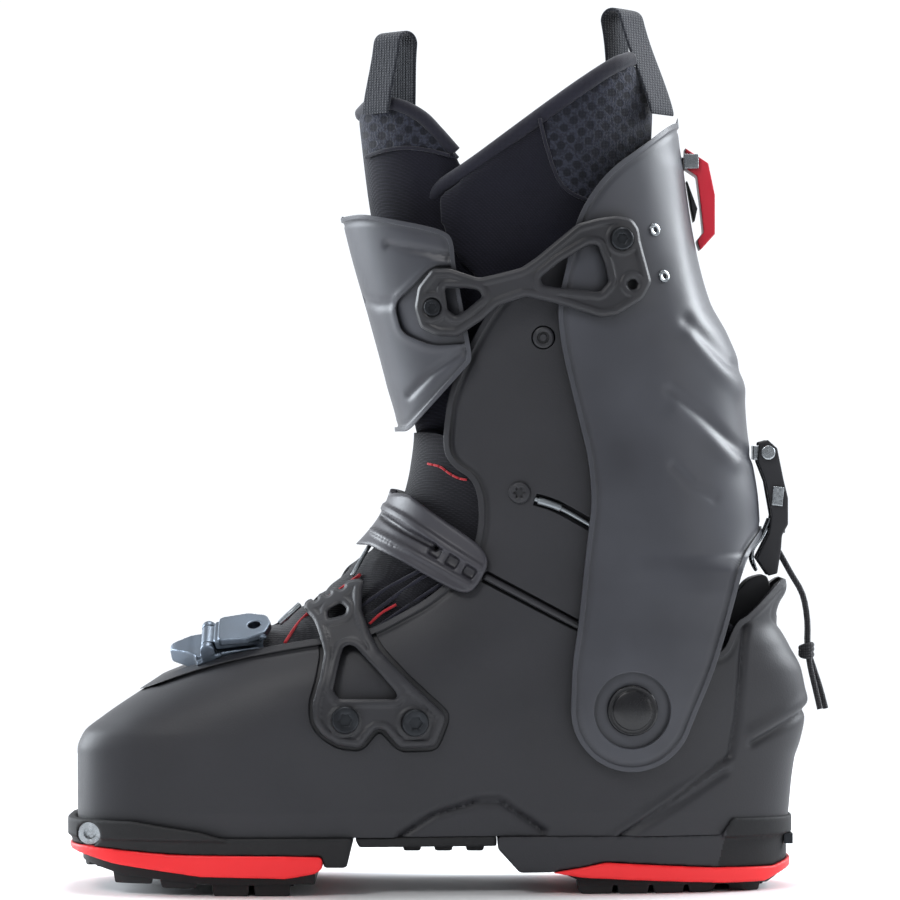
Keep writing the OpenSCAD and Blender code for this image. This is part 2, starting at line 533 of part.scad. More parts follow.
// ---------------------------------------------------------------- walk lever
module lever_cheeks(y0, y1) for (side = [-1, 1]) translate([0, side > 0 ? y0 : -y1, 0])
    translate([0, y1 - y0, 0]) rotate([90, 0, 0]) linear_extrude(y1 - y0) polygon(LEVER_SIDE);
module walk_lever() color("#1c1c1f") difference() {
    union() {
        lever_cheeks(6, 9);
        translate([141.5, -7, 148]) cube([5.2, 14, 16]);
    }
    translate([lever_pin.x, 0, lever_pin.y]) bar_y(pin_r + pin_fit, -20, 20);
}
module walk_lever_pin() color("#b9bdc0") translate([lever_pin.x, 0, lever_pin.y]) {
    bar_y(pin_r, -9.4, 9.4);
    bar_y(3, -11, -9.4);
    bar_y(3, 9.4, 11);
    translate([-6.1, -5.6, -3]) cube([6.1, 11.2, 6]);
}
module walk_lever_plate() color("#c4c7c9") translate([143.4, -10, 163.4]) rotate([0, 6, 0])
    cube([4.6, 1, 8], center = true);
// One half of the latch wire, from the lever down to the middle of its bend
LATCH_LEG = [[140.5, 4.8, 154], [137.5, 4.8, 147], [133.5, 4.8, 141.5], [133, 4.8, 137], [134.5, 2.5, 133]];
module latch_wire() color("#b9bdc0")
    tube(spline([for (p = LATCH_LEG) [p.x, -p.y, p.z], for (k = [4:-1:0]) LATCH_LEG[k]], 3), 0.9);
module heel_latch_bar() color("#b9bdc0") {
    flat_y([[134.5, 108], [137, 108], [137, 127], [134.5, 127]], 4.6);
    translate([135.75, 0, 127.6]) bar_y(1.5, -5.2, 5.2);
}

// ---------------------------------------------------------------- rear hook
module flat_y(outline, half)
    translate([0, half, 0]) rotate([90, 0, 0]) linear_extrude(2 * half) polygon(outline);
module rear_hook() color("#c4243c") difference() {
    flat_y(HOOK_SIDE, 8);
    translate([hook_pin.x, 0, hook_pin.y]) bar_y(pin_r + pin_fit, -20, 20);
}
module hook_wedge() color("#1b1b1e") flat_y(WEDGE_SIDE, 6);
module hook_rivet() color("#c0c4c8") {
    translate([hook_pin.x, 0, hook_pin.y]) {
        bar_y(pin_r, -10.5, 10.5);
        for (s = [-10.5, 8.5]) translate([-4.2, s, -3]) cube([6.2, 2, 6]);
    }
}

// ---------------------------------------------------------------- liner
LINER_FOOT_SIDE = [[-160, 20], [160, 20], [160, 106], [128, 106], [112, 120], [96, 133], [81, 136],
                   [62, 133], [40, 122], [18, 118], [0, 116], [-20, 106], [-160, 106]];
module liner_foot() color("#26262e") carved() intersection() {
    wall(-9 - liner_wall, -9, floor_z + 8, 140, floor_z + 8 + liner_wall, 28, 9);
    across(LINER_FOOT_SIDE);
}
// The shaft of the liner: a narrow sleeve inside the wings that widens above them
LINER_FRONT = [[140, 46], [225, 26], [250, -6], [275, -16], [300, -12], [330, 0], [350, 10]];
LINER_BACK = [[140, 122], [165, 121], [190, 117], [214, 114], [245, 101], [272, 95], [301, 91],
              [330, 92], [350, 88]];
LINER_HALF = [[140, 31], [225, 34], [262, 40], [300, 44], [350, 45]];
function liner_ring(z, off, n) =
    let (f = lookup(z, LINER_FRONT) - off, b = lookup(z, LINER_BACK) + off, h = lookup(z, LINER_HALF) + off)
    [for (i = [0:n - 1]) let (t = 360 * i / n)
        [(f + b) / 2 + (b - f) / 2 * power(cos(t), 0.86), h * power(sin(t), 0.86), z]];
module liner_form(off, z_low, z_high, n = 28, step = 14) {
    levels = ceil((z_high - z_low) / step);
    points = [for (k = [0:levels]) each liner_ring(z_low + (z_high - z_low) * k / levels, off, n)];
    stacked(points, levels, n);
}
LINER_SHAFT_SIDE = [[130, 130], [130, 318], [95, 318], [90, 336], [81, 345.5], [72, 340],
                    [55, 327.5], [40, 317], [25, 306], [14, 298], [6, 292], [-6, 283],
                    [-20, 279], [-20, 225], [40, 130]];
module liner_shaft() color("#26262e") carved() intersection() {
    difference() {
        liner_form(0, 140, 350);
        liner_form(-liner_wall, 139, 351);
        tongue_form(0.5, 188, 351, 28, 9);
    }
    across(LINER_SHAFT_SIDE);
}
// Front panel that closes the liner, inside the edges of its shaft
TONGUE_FRONT = [[190, -7], [212, -11], [245, -20], [282, -26.5], [330, -31.5]];
TONGUE_HALF = [[190, 20], [245, 30], [330, 33]];
function tongue_ring(z, off, n) =
    let (f = lookup(z, TONGUE_FRONT) - off, h = lookup(z, TONGUE_HALF) + off)
    [for (i = [0:n - 1]) let (t = 360 * i / n)
        [f + 48 + off + (48 + off) * power(cos(t), 0.8), h * power(sin(t), 0.8), z]];
module tongue_form(off, z_low, z_high, n = 28, levels = 7) {
    points = [for (k = [0:levels]) each tongue_ring(z_low + (z_high - z_low) * k / levels, off, n)];
    stacked(points, levels, n);
}
TONGUE_SIDE = [[-60, 194], [-3, 194], [0, 240], [6, 285], [13, 300.5], [4, 312], [-5, 321],
               [-18, 327.5], [-28, 328], [-33, 322], [-60, 322]];
module liner_tongue() color("#22222a") carved() intersection() {
    difference() {
        tongue_form(0, 194, 330);
        tongue_form(-6, 193, 331);
    }
    across(TONGUE_SIDE);
}

// Folded webbing: an upright band bent over at the top, local X across the fold
module band(half, inner_x, outer_x, low_in, low_out, top) {
    rim = (outer_x - inner_x) / 2;
    translate([0, half, 0]) rotate([90, 0, 0]) linear_extrude(2 * half) difference() {
        union() {
            polygon([[inner_x, low_in], [inner_x + webbing, low_in], [outer_x - webbing, low_out],
                     [outer_x, low_out], [outer_x, top - rim], [inner_x, top - rim]]);
            translate([inner_x + rim, top - rim]) circle(r = rim, $fn = 40);
        }
        polygon([[inner_x + webbing, low_in - 1], [inner_x + webbing, top - rim],
                 [outer_x - webbing, top - rim], [outer_x - webbing, low_out - 1]]);
        translate([inner_x + rim, top - rim]) circle(r = rim - webbing, $fn = 40);
    }
}
module front_loop() color("#4d5056") translate([-22.5, -22, 326]) rotate([0, 0, 40]) rotate([0, 7, 0])
    band(9, -3.4, 12.4, -4, -6, 32);
module rear_loop() color("#4d5056") translate([83, -14, 338]) rotate([0, 0, -32]) rotate([0, -14, 0])
    band(10, -9.8, 10.4, -14, -19, 30);

// ---------------------------------------------------------------- release cord
// Both strands run side by side down to the knot, then part
STRAND_FALL = [[144.5, 140], [149.5, 131], [154.5, 122], [156.5, 111], [156.6, 100]];
LEFT_TAIL = [[157.5, -2, 92], [159.5, -3, 83], [161.5, -4, 74]];
RIGHT_TAIL = [[159, 1.5, 92], [162, 2.5, 83], [164.5, 4, 74]];
strand_side = 1.3;
module strand(side, tail) color("#202024")
    tube(spline(concat([for (p = STRAND_FALL) [p.x, side * strand_side, p.y]], tail), 3),
         cord_d / 2 - 0.05);
module pull_cord() strand(-1, LEFT_TAIL);
module tail_cord() strand(1, RIGHT_TAIL);
module cord_knot() color("#202024") translate([156.3, 0, 98.5]) rotate([0, 15, 0])
    scale([0.85, 1, 1.1]) sphere(r = 3.6, $fn = 20);

lower_shell();
boot_board();
toe_sole_block();
toe_red_band();
toe_tread();
sole_shank();
heel_sole_block();
heel_red_band();
heel_tread();
toe_insert();
heel_insert();
sole_screws();
rack_bracket();
rack_bolts();
gaiter();
toe_buckle_base();
toe_buckle_lever();
toe_cable();
instep_strap();
instep_cable();
instep_wire();
instep_base();
instep_lever();
instep_bail();
pivot_rivets();
cable_anchor();
anchor_cable();
shell_plug();
cuff();
cuff_nuts();
cuff_base();
cuff_lever();
cuff_bail();
x_link();
x_link_bolt();
x_link_rivet();
shin_plate();
plate_ladder();
walk_lever();
walk_lever_pin();
walk_lever_plate();
latch_wire();
heel_latch_bar();
rear_hook();
hook_wedge();
hook_rivet();
liner_foot();
liner_shaft();
liner_tongue();
front_loop();
rear_loop();
pull_cord();
tail_cord();
cord_knot();
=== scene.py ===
"""Looks of an alpine touring ski boot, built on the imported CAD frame. Sizes in millimetres."""
import math
import bpy
import bmesh
import numpy as np
from mathutils import Matrix, Vector


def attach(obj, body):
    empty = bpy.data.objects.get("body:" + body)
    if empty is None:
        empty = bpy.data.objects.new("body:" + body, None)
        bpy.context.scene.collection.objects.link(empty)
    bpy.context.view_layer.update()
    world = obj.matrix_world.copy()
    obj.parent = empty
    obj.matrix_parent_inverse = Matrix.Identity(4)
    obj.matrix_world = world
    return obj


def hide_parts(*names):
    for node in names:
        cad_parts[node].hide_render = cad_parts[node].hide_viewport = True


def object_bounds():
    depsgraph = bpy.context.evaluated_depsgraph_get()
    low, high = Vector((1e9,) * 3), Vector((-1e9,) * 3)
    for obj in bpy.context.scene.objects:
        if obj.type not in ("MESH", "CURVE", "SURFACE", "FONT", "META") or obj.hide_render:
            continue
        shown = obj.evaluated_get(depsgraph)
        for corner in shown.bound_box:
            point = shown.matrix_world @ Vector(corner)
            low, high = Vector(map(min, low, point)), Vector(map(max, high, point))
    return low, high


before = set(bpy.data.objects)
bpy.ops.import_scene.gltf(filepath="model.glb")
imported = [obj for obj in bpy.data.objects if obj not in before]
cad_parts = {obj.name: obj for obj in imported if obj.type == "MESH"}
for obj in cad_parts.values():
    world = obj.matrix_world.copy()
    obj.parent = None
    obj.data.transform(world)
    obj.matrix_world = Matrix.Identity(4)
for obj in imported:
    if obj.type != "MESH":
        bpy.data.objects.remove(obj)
cad_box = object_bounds()
MM = 0.001
REACH = 95  # how far side-view cutters go to each side
SCENE = bpy.context.scene

# ---------------- camera
low, high = [Vector(v) for v in cad_box]
middle = (low + high) / 2
LENS, SENSOR = 180, 36
FRAME_WIDTH = (high.x - low.x) * 1.175
cam_data = bpy.data.cameras.new("camera")
cam_data.lens, cam_data.sensor_width = LENS, SENSOR
cam = bpy.data.objects.new("camera", cam_data)
cam.location = (middle.x, -0.02 - FRAME_WIDTH * LENS / SENSOR, middle.z - 0.001)
cam.rotation_euler = (math.radians(90), 0, 0)
SCENE.collection.objects.link(cam)
SCENE.camera = cam
SCENE.view_settings.view_transform = "Standard"


# ---------------- materials
class Tree:
    """Short way to write a shader tree."""

    def __init__(self, name):
        self.mat = bpy.data.materials.new(name)
        self.mat.use_nodes = True
        self.t = self.mat.node_tree
        self.shader = self.t.nodes["Principled BSDF"]
        self.coord = self.t.nodes.new("ShaderNodeTexCoord").outputs["Object"]

    def node(self, kind, values=(), **props):
        n = self.t.nodes.new("ShaderNode" + kind)
        for k, v in props.items():
            setattr(n, k, v)
        for k, v in dict(values).items():
            self.feed(n.inputs[k], v)
        return n

    def feed(self, socket, value):
        if isinstance(value, bpy.types.NodeSocket):
            self.t.links.new(value, socket)
        else:
            socket.default_value = value

    def noise(self, scale, detail=3, stretch=None):
        at = self.coord
        if stretch:
            at = self.node("Mapping", {"Vector": at, "Scale": stretch}).outputs[0]
        return self.node("TexNoise", {"Vector": at, "Scale": scale, "Detail": detail}).outputs["Fac"]

    def math(self, op, a, b=0.0):
        return self.node("Math", {0: a, 1: b}, operation=op).outputs[0]

    def mix(self, fac, a, b):
        n = self.node("Mix", data_type="RGBA")
        for k, v in ((0, fac), (6, a), (7, b)):
            self.feed(n.inputs[k], v)
        return n.outputs[2]

    def span(self, value, a, b, c, d):
        return self.node("MapRange", {0: value, 1: a, 2: b, 3: c, 4: d}).outputs[0]

    def set(self, **sockets):
        for k, v in sockets.items():
            self.feed(self.shader.inputs[k.replace("_", " ")], v)
        return self.mat


def rgb(hexa, gain=1.0):
    """sRGB hex to a linear colour."""
    v = [int(hexa[i:i + 2], 16) / 255 for i in (0, 2, 4)]
    return [((c + 0.055) / 1.055) ** 2.4 * gain if c > 0.04 else c / 12.92 * gain for c in v] + [1]


def plastic(name, colour, worn, rough=0.45, grain=1500, bump=0.12, bevel=0.7, mottle=0.25):
    """Moulded plastic: fine grain, mottled gloss, edges rubbed paler, and painted shade that darkens corners,
    creases and gaps between parts.
    """
    t = Tree(name)
    round_n = t.node("Bevel", {"Radius": bevel * MM}, samples=6).outputs[0]
    flat_n = t.node("NewGeometry").outputs["Normal"]
    same = t.node("VectorMath", {0: round_n, 1: flat_n}, operation="DOT_PRODUCT").outputs["Value"]
    scuff = t.noise(260, 4)
    edge = t.math("MULTIPLY", t.span(same, 1.0, 0.86, 0, 1), t.span(scuff, 0.35, 0.7, 0.15, 1))
    cloud = t.noise(22, 3)
    base = t.mix(t.span(cloud, 0.3, 0.7, 0, mottle), rgb(colour), rgb(worn))
    # painted shade: ambient occlusion over 5 mm blends the colour towards near black (050506) in corners,
    # creases, recesses and gaps between parts
    painted_crease_shade = t.node("AmbientOcclusion", {"Distance": 5 * MM}, samples=4).outputs["AO"]
    base = t.mix(t.span(painted_crease_shade, 0.3, 0.85, 0.8, 0), base, rgb("050506"))
    fine = t.noise(grain, 2)
    height = t.math("ADD", fine, t.math("MULTIPLY", t.noise(170, 2), 0.5))
    n = t.node("Bump", {"Strength": bump, "Distance": 0.25 * MM, "Height": height, "Normal": round_n})
    dull = t.span(cloud, 0.3, 0.7, rough - 0.05, rough + 0.06)
    rough_v = t.math("ADD", dull, t.math("MULTIPLY", fine, 0.06))
    return t.set(Base_Color=t.mix(t.math("MULTIPLY", edge, 0.7), base, rgb(worn)), Roughness=rough_v,
                 Normal=n.outputs[0])


def metal(name, colour, rough=0.28, bevel=0.25, brush=(1, 1, 1)):
    """Metal with fine drag marks and duller patches."""
    t = Tree(name)
    round_n = t.node("Bevel", {"Radius": bevel * MM}, samples=6).outputs[0]
    drag = t.noise(900, 4, brush)
    patch = t.noise(60, 3)
    n = t.node("Bump", {"Strength": 0.1, "Distance": 0.1 * MM, "Height": drag, "Normal": round_n})
    base = t.mix(t.span(patch, 0.4, 0.7, 0, 0.35), rgb(colour), rgb("5c6064"))
    return t.set(Base_Color=base, Metallic=1.0, Normal=n.outputs[0],
                 Roughness=t.span(drag, 0.3, 0.7, rough - 0.06, rough + 0.12))


def cloth(name, colour, thread, pitch=1.1, rough=0.85, sheen=0.35, twill=False, bump=0.5, dots=None):
    """Woven or knitted fabric; pitch is the thread spacing in mm."""
    t = Tree(name)
    turns = 2 * math.pi / 20 / (pitch * MM)
    warp, weft = [t.node("TexWave", {"Vector": t.coord, "Scale": turns, "Distortion": 0.6, "Detail": 1.0},
                         wave_type="BANDS", bands_direction=way).outputs["Fac"]
                  for way in ("DIAGONAL" if twill else "X", "Z")]
    weave = t.math("MULTIPLY", warp, weft)
    fuzz = t.noise(1800, 3)
    base = t.mix(weave, rgb(colour), rgb(thread))
    height = t.math("ADD", weave, t.math("MULTIPLY", fuzz, 0.5))
    if dots:
        flat = t.node("Mapping", {"Vector": t.coord, "Rotation": (0, math.radians(38), 0),
                                  "Scale": (1, 0, 1)})
        cell = t.node("TexVoronoi", {"Vector": flat.outputs[0], "Scale": 1 / (dots * MM),
                                     "Randomness": 0.18}, feature="F1").outputs["Distance"]
        hole = t.math("MULTIPLY", t.span(cell, 0.3, 0.4, 0, 1), t.span(t.noise(900, 2), 0.4, 0.6, 0.3, 1))
        base = t.mix(hole, base, rgb("3a3d4b"))
        height = t.math("ADD", height, t.math("MULTIPLY", hole, 1.5))
    base = t.mix(t.span(t.noise(30, 3), 0.35, 0.7, 0, 0.35), base, rgb(thread))
    n = t.node("Bump", {"Strength": bump, "Distance": 0.3 * MM, "Height": height})
    return t.set(Base_Color=base, Roughness=t.span(fuzz, 0.3, 0.7, rough - 0.08, rough + 0.08),
                 Sheen_Weight=sheen, Sheen_Roughness=0.45, Specular_IOR_Level=0.25, Normal=n.outputs[0])


SHELL = plastic("shell_plastic", "1a1a1f", "333339", rough=0.5, grain=1300, bump=0.22)
CUFF = plastic("cuff_plastic", "303137", "51535b", rough=0.4, grain=2200, bump=0.1, mottle=0.35)
NYLON = plastic("black_nylon", "18181c", "3e3e45", rough=0.44, grain=2600, bump=0.1, bevel=0.4)
STRAP = plastic("strap_plastic", "29282e", "515059", rough=0.4, grain=2400, bump=0.08, bevel=0.5)
RUBBER = plastic("sole_rubber", "07070a", "1c1c21", rough=0.66, grain=900, bump=0.3, bevel=0.8)
RED = plastic("red_band", "f0141e", "ff5450", rough=0.42, grain=1600, bump=0.12, bevel=0.7, mottle=0.12)
HOOK_RED = plastic("red_hook", "c81830", "f0505c", rough=0.34, grain=2000, bump=0.06, bevel=0.5, mottle=0.15)
GLOSS = plastic("cap_plastic", "0d0d10", "2c2c31", rough=0.2, grain=2600, bump=0.04, bevel=0.6, mottle=0.1)
BUCKLE = metal("buckle_metal", "6a7480", rough=0.34, bevel=0.5, brush=(1, 6, 1))
DARK_STEEL = metal("dark_steel", "2c2d30", rough=0.38)
STEEL = metal("bright_steel", "b4b9bd", rough=0.24)
ROPE = metal("wire_rope", "8f9498", rough=0.36, brush=(8, 8, 1))
LINER = cloth("liner_fabric", "0d0d15", "1d1d2b", pitch=0.7, twill=True, sheen=0.12)
SPACER = cloth("liner_mesh", "0f1017", "232632", pitch=0.6, dots=5.0, bump=0.9, sheen=0.15)
LINING = cloth("liner_lining", "16171f", "2a2b37", pitch=0.8, sheen=0.15)
BINDING = cloth("binding_tape", "15151d", "30303e", pitch=0.5, sheen=0.25)
GAITER = cloth("gaiter_fabric", "0d0d11", "212128", pitch=0.8, twill=True, bump=0.7, sheen=0.15)
WEBBING = cloth("webbing_tape", "1c1e24", "363941", pitch=1.1, bump=0.9, sheen=0.2)
RED_THREAD = cloth("red_thread", "8e1a22", "d84048", pitch=0.4, sheen=0.2)
CORD_SHEATH = cloth("cord_sheath", "121214", "3a3a3e", pitch=0.7, bump=0.9)


# ---------------- body form
def pchip(table):
    """Smooth curve through a table that never overshoots it."""
    x, y = np.array(table, float).T
    h, d = np.diff(x), np.diff(y) / np.diff(x)
    m = np.zeros(len(x))
    for i in range(1, len(x) - 1):
        if d[i - 1] * d[i] > 0:
            a, b = 2 * h[i] + h[i - 1], h[i] + 2 * h[i - 1]
            m[i] = (a + b) / (a / d[i - 1] + b / d[i])
    m[0], m[-1] = d[0], d[-1]

    def at(v):
        v = np.clip(v, x[0], x[-1])
        i = np.clip(np.searchsorted(x, v) - 1, 0, len(h) - 1)
        s = (v - x[i]) / h[i]
        return ((1 + 2 * s) * (1 - s) ** 2 * y[i] + s * (1 - s) ** 2 * h[i] * m[i]
                + s * s * (3 - 2 * s) * y[i + 1] + s * s * (s - 1) * h[i] * m[i + 1])
    return at


# where the body starts, ends and is widest at each height, and how square its rings are
FRONT = pchip([[12, -146], [24, -149], [58, -149.5], [65, -147], [71, -140], [83, -122], [97, -99.5],
               [105, -83], [112, -67], [122, -51.5], [134, -38], [144, -27], [155, -19], [165, -15],
               [176, -12.5], [190, -11], [212, -16], [245, -25], [279, -33.5], [300, -38], [330, -44]])
BACK = pchip([[12, 144], [24, 146], [54, 149.5], [62, 152], [70, 153.6], [80, 154], [90, 152.5], [101, 147],
              [112, 142], [119, 143.5], [126, 147], [132, 147], [140, 132], [165, 129.5], [190, 125.3],
              [214, 123.2], [231, 117], [245, 109.5], [272, 102.5], [301, 98], [330, 94.5]])
WIDEST = pchip([[12, 10], [60, 20], [90, 55], [130, 66], [200, 60], [260, 44], [330, 30]])
FORE_N = pchip([[12, 4], [60, 3.7], [100, 2.9], [150, 2.4], [330, 2.3]])
REAR_N = pchip([[12, 3.2], [100, 2.9], [150, 2.5], [330, 2.3]])
# half width of the foot along X, of the shaft along Z, and sideways shift of the toe
FOOT_HALF = pchip([[-150, 49], [-120, 55], [-75, 58], [-40, 56], [0, 50], [40, 46], [80, 45], [120, 41],
                   [155, 38]])
SHAFT_HALF = pchip([[90, 45], [150, 45], [200, 45.5], [250, 48], [300, 50.5], [330, 51.5]])
BIAS = pchip([[-150, -4], [-100, 0], [-50, 2], [0, 0], [1, 0]])
# places in the side view: cuff pivot, toe pin, shell plug, and the cross link's bolt, rivet and hole
PIVOT = (81, 76)
PIN_AT = (-142.6, 24.5)
PLUG_AT = (44.5, 228.9)
LINK_BOLT = (76.5, 269)
LINK_RIVET = (-1, 241.2)
LINK_EYE = (80.9, 250.5)
BOTH = (-1, 1)


def ease(t):
    c = np.clip(t, 0, 1)
    return c * c * (3 - 2 * c)


def half_at(x, z):
    """Half width at a place in the side view: the foot's low down, the shaft's higher up."""
    k = ease((z - 85) / 45)
    low_part = np.where(z < 34, 0.96 + 0.04 * (z - 12) / 22, 1)
    return (1 - k) * FOOT_HALF(x) * low_part + k * SHAFT_HALF(z)


def ring_front(z, off):
    """Front of the ring at z, moved so that a sloping front also grows by off."""
    rise = (FRONT(z + 3) - FRONT(z - 3)) / 6
    return FRONT(z) - off * np.minimum(2.4, np.sqrt(1 + rise * rise))


def side_y(x, z, off=0.0):
    """Distance from the middle plane to the surface, at a place in the side view."""
    c, rear = WIDEST(z), x >= WIDEST(z)
    n = np.where(rear, REAR_N(z), FORE_N(z))
    reach = np.where(rear, BACK(z) + off - c, c - ring_front(z, off))
    u = np.minimum(0.999, abs(x - c) / reach)
    return (half_at(x, z) + off) * (1 - u ** n) ** (1 / n)


def ring(z, off, us):
    """Level ring at u = 0 back, 1 lateral, 2 front, 3 medial, evenly spaced in each quarter."""
    t = np.radians(np.linspace(0, 90, 500))
    c, rows = WIDEST(z), []
    for reach, n in ((BACK(z) + off - c, REAR_N(z)), (ring_front(z, off) - c, FORE_N(z))):
        x = c + reach * np.cos(t) ** (2 / n)
        y = (half_at(x, z) + off) * np.sin(t) ** (2 / n)
        s = np.concatenate([[0], np.cumsum(np.hypot(np.diff(x), np.diff(y)))])
        rows.append((s / s[-1], x, y))
    u4 = np.mod(us, 4)
    out = np.zeros((len(us), 3))
    for q in range(4):
        pick = (u4 >= q) & (u4 < q + 1)
        f = u4[pick] - q
        s, x, y = rows[0] if q in (0, 3) else rows[1]
        f = f if q in (0, 2) else 1 - f
        out[pick, 0] = np.interp(f, s, x)
        out[pick, 1] = np.interp(f, s, y) * (1 if q < 2 else -1)
    out[:, 1] += BIAS(out[:, 0])
    out[:, 2] = z
    return out


def around(n):
    """n places around a ring."""
    return np.linspace(0, 4, n, endpoint=False)


def sheet_grid(off, zs, us):
    return np.array([ring(z, off, us) for z in zs])


def push(grid, amount, closed):
    """Moves a grid outward along its own normal by amount(x, z, side)."""
    if closed:
        du = np.roll(grid, -1, 1) - np.roll(grid, 1, 1)
    else:
        du = np.gradient(grid, axis=1)
    n = np.cross(du, np.gradient(grid, axis=0))
    n /= np.maximum(np.linalg.norm(n, axis=2, keepdims=True), 1e-9)
    return grid + n * amount(grid[..., 0], grid[..., 2], np.sign(grid[..., 1]))[..., None]


# ---------------- side-view drawing
def near(x, z, path):
    """Distance from places in the side view to a line through points."""
    best = np.full(np.shape(x), 1e9)
    for (ax, az), (bx, bz) in zip(path, path[1:]):
        dx, dz = bx - ax, bz - az
        t = np.clip(((x - ax) * dx + (z - az) * dz) / max(dx * dx + dz * dz, 1e-9), 0, 1)
        best = np.minimum(best, np.hypot(x - ax - t * dx, z - az - t * dz))
    return best


def inside(x, z, poly):
    hit = np.zeros(np.shape(x), bool)
    for (ax, az), (bx, bz) in zip(poly, poly[1:] + poly[:1]):
        if az != bz:
            hit ^= ((az > z) != (bz > z)) & (x < (bx - ax) * (z - az) / (bz - az) + ax)
    return hit


def signed(x, z, poly):
    d = near(x, z, poly + poly[:1])
    return np.where(inside(x, z, poly), -d, d)


def groove(x, z, path, width, depth):
    return -depth * np.exp(-(near(x, z, path) / (width / 2)) ** 2)


def creases(x, z, table):
    """Sum of soft grooves (path, width, depth); a negative depth makes a ridge."""
    return sum(groove(x, z, *row) for row in table)


def edge_line(x, z, outline, inset_by, depth, width):
    """Shallow line that follows an outline at a distance."""
    return -depth * np.exp(-((near(x, z, outline) - inset_by) / width) ** 2)


def rounded(poly, r, steps=5):
    """Outline with each corner cut by a short curve."""
    out = []
    n = len(poly)
    for i in range(n):
        a, b, c = (np.array(poly[j % n], float) for j in (i - 1, i, i + 1))
        p = b + (a - b) * min(0.5, r / max(np.linalg.norm(a - b), 1e-6))
        q = b + (c - b) * min(0.5, r / max(np.linalg.norm(c - b), 1e-6))
        for k in range(steps + 1):
            t = k / steps
            v = (1 - t) ** 2 * p + 2 * t * (1 - t) * b + t * t * q
            if not out or np.linalg.norm(v - out[-1]) > 0.02:
                out.append(v)
    if np.linalg.norm(out[0] - out[-1]) < 0.02:
        out.pop()
    return [tuple(v) for v in out]


def inset(poly, d):
    """Outline moved inward by d, or outward when d is negative."""
    p = np.array(poly, float)
    a, b = p - np.roll(p, 1, 0), np.roll(p, -1, 0) - p
    a /= np.maximum(np.linalg.norm(a, axis=1, keepdims=True), 1e-9)
    b /= np.maximum(np.linalg.norm(b, axis=1, keepdims=True), 1e-9)
    turn = np.sign(np.sum(p[:, 0] * np.roll(p[:, 1], -1) - p[:, 1] * np.roll(p[:, 0], -1)))
    n1 = np.stack([-a[:, 1], a[:, 0]], 1) * turn
    n = n1 + np.stack([-b[:, 1], b[:, 0]], 1) * turn
    n /= np.maximum(np.linalg.norm(n, axis=1, keepdims=True), 1e-9)
    k = d / np.maximum(0.6, np.sum(n * n1, axis=1, keepdims=True))
    return [tuple(v) for v in p + n * k]


def circle(cx, cz, r, n=48, squash=1.0):
    return [(cx + r * math.cos(2 * math.pi * k / n), cz + squash * r * math.sin(2 * math.pi * k / n))
            for k in range(n)]


def spline(points, steps):
    """Catmull-Rom curve through points."""
    p = [np.array(v, float) for v in points]
    out = []
    for i in range(len(p) - 1):
        a, b, c, d = p[max(0, i - 1)], p[i], p[i + 1], p[min(len(p) - 1, i + 2)]
        for k in range(steps):
            t = k / steps
            out.append(0.5 * (2 * b + (c - a) * t + (2 * a - 5 * b + 4 * c - d) * t * t
                              + (3 * b - a - 3 * c + d) * t ** 3))
    return out + [p[-1]]


# ---------------- mesh tools
def new_mesh(name, verts, faces):
    me = bpy.data.meshes.new(name)
    me.from_pydata((np.asarray(verts, float) * MM).tolist(), [], faces)
    me.validate()
    o = bpy.data.objects.new(name, me)
    SCENE.collection.objects.link(o)
    return o


def drop(*objs):
    for o in objs:
        me = o.data
        bpy.data.objects.remove(o)
        bpy.data.meshes.remove(me)


def bake(o):
    """Applies every modifier of an object."""
    bpy.context.view_layer.update()
    dg = bpy.context.evaluated_depsgraph_get()
    me = bpy.data.meshes.new_from_object(o.evaluated_get(dg))
    o.modifiers.clear()
    old, o.data = o.data, me
    me.name = o.name
    bpy.data.meshes.remove(old)
    return o


def outward(o):
    bm = bmesh.new()
    bm.from_mesh(o.data)
    bmesh.ops.recalc_face_normals(bm, faces=bm.faces)
    if bm.calc_volume(signed=True) < 0:
        bmesh.ops.reverse_faces(bm, faces=bm.faces)
    bm.to_mesh(o.data)
    bm.free()
    return o


def grid_faces(rows, n, closed):
    last = n if closed else n - 1
    return [(k * n + i, k * n + (i + 1) % n, (k + 1) * n + (i + 1) % n, (k + 1) * n + i)
            for k in range(rows - 1) for i in range(last)]


def tube_solid(name, grid):
    """Closed solid from a stack of rings."""
    rows, n = grid.shape[:2]
    faces = grid_faces(rows, n, True)
    faces += [tuple(range(n))[::-1], tuple((rows - 1) * n + i for i in range(n))]
    return outward(new_mesh(name, grid.reshape(-1, 3), faces))


def plate_solid(name, outer, inner):
    """Closed solid between two open grids."""
    rows, n = outer.shape[:2]
    m = rows * n
    faces = grid_faces(rows, n, False) + [tuple(m + v for v in f[::-1]) for f in grid_faces(rows, n, False)]
    rim = [i for i in range(n)] + [k * n + n - 1 for k in range(1, rows)]
    rim += [(rows - 1) * n + i for i in range(n - 2, -1, -1)] + [k * n for k in range(rows - 2, 0, -1)]
    faces += [(a, m + a, m + b, b) for a, b in zip(rim, rim[1:] + rim[:1])]
    return outward(new_mesh(name, np.concatenate([outer.reshape(-1, 3), inner.reshape(-1, 3)]), faces))


def prism(outline, y0=-REACH, y1=REACH, name="prism"):
    """Side-view outline pulled across the boot."""
    n = len(outline)
    verts = [(x, y0, z) for x, z in outline] + [(x, y1, z) for x, z in outline]
    faces = [tuple(range(n)), tuple(range(2 * n - 1, n - 1, -1))]
    faces += [(i, (i + 1) % n, n + (i + 1) % n, n + i) for i in range(n)]
    return outward(new_mesh(name, verts, faces))


def keep(o, outline, y0=-REACH, y1=REACH):
    """Keeps what lies inside a side-view outline."""
    return cut(o, prism(outline, y0, y1), "INTERSECT")


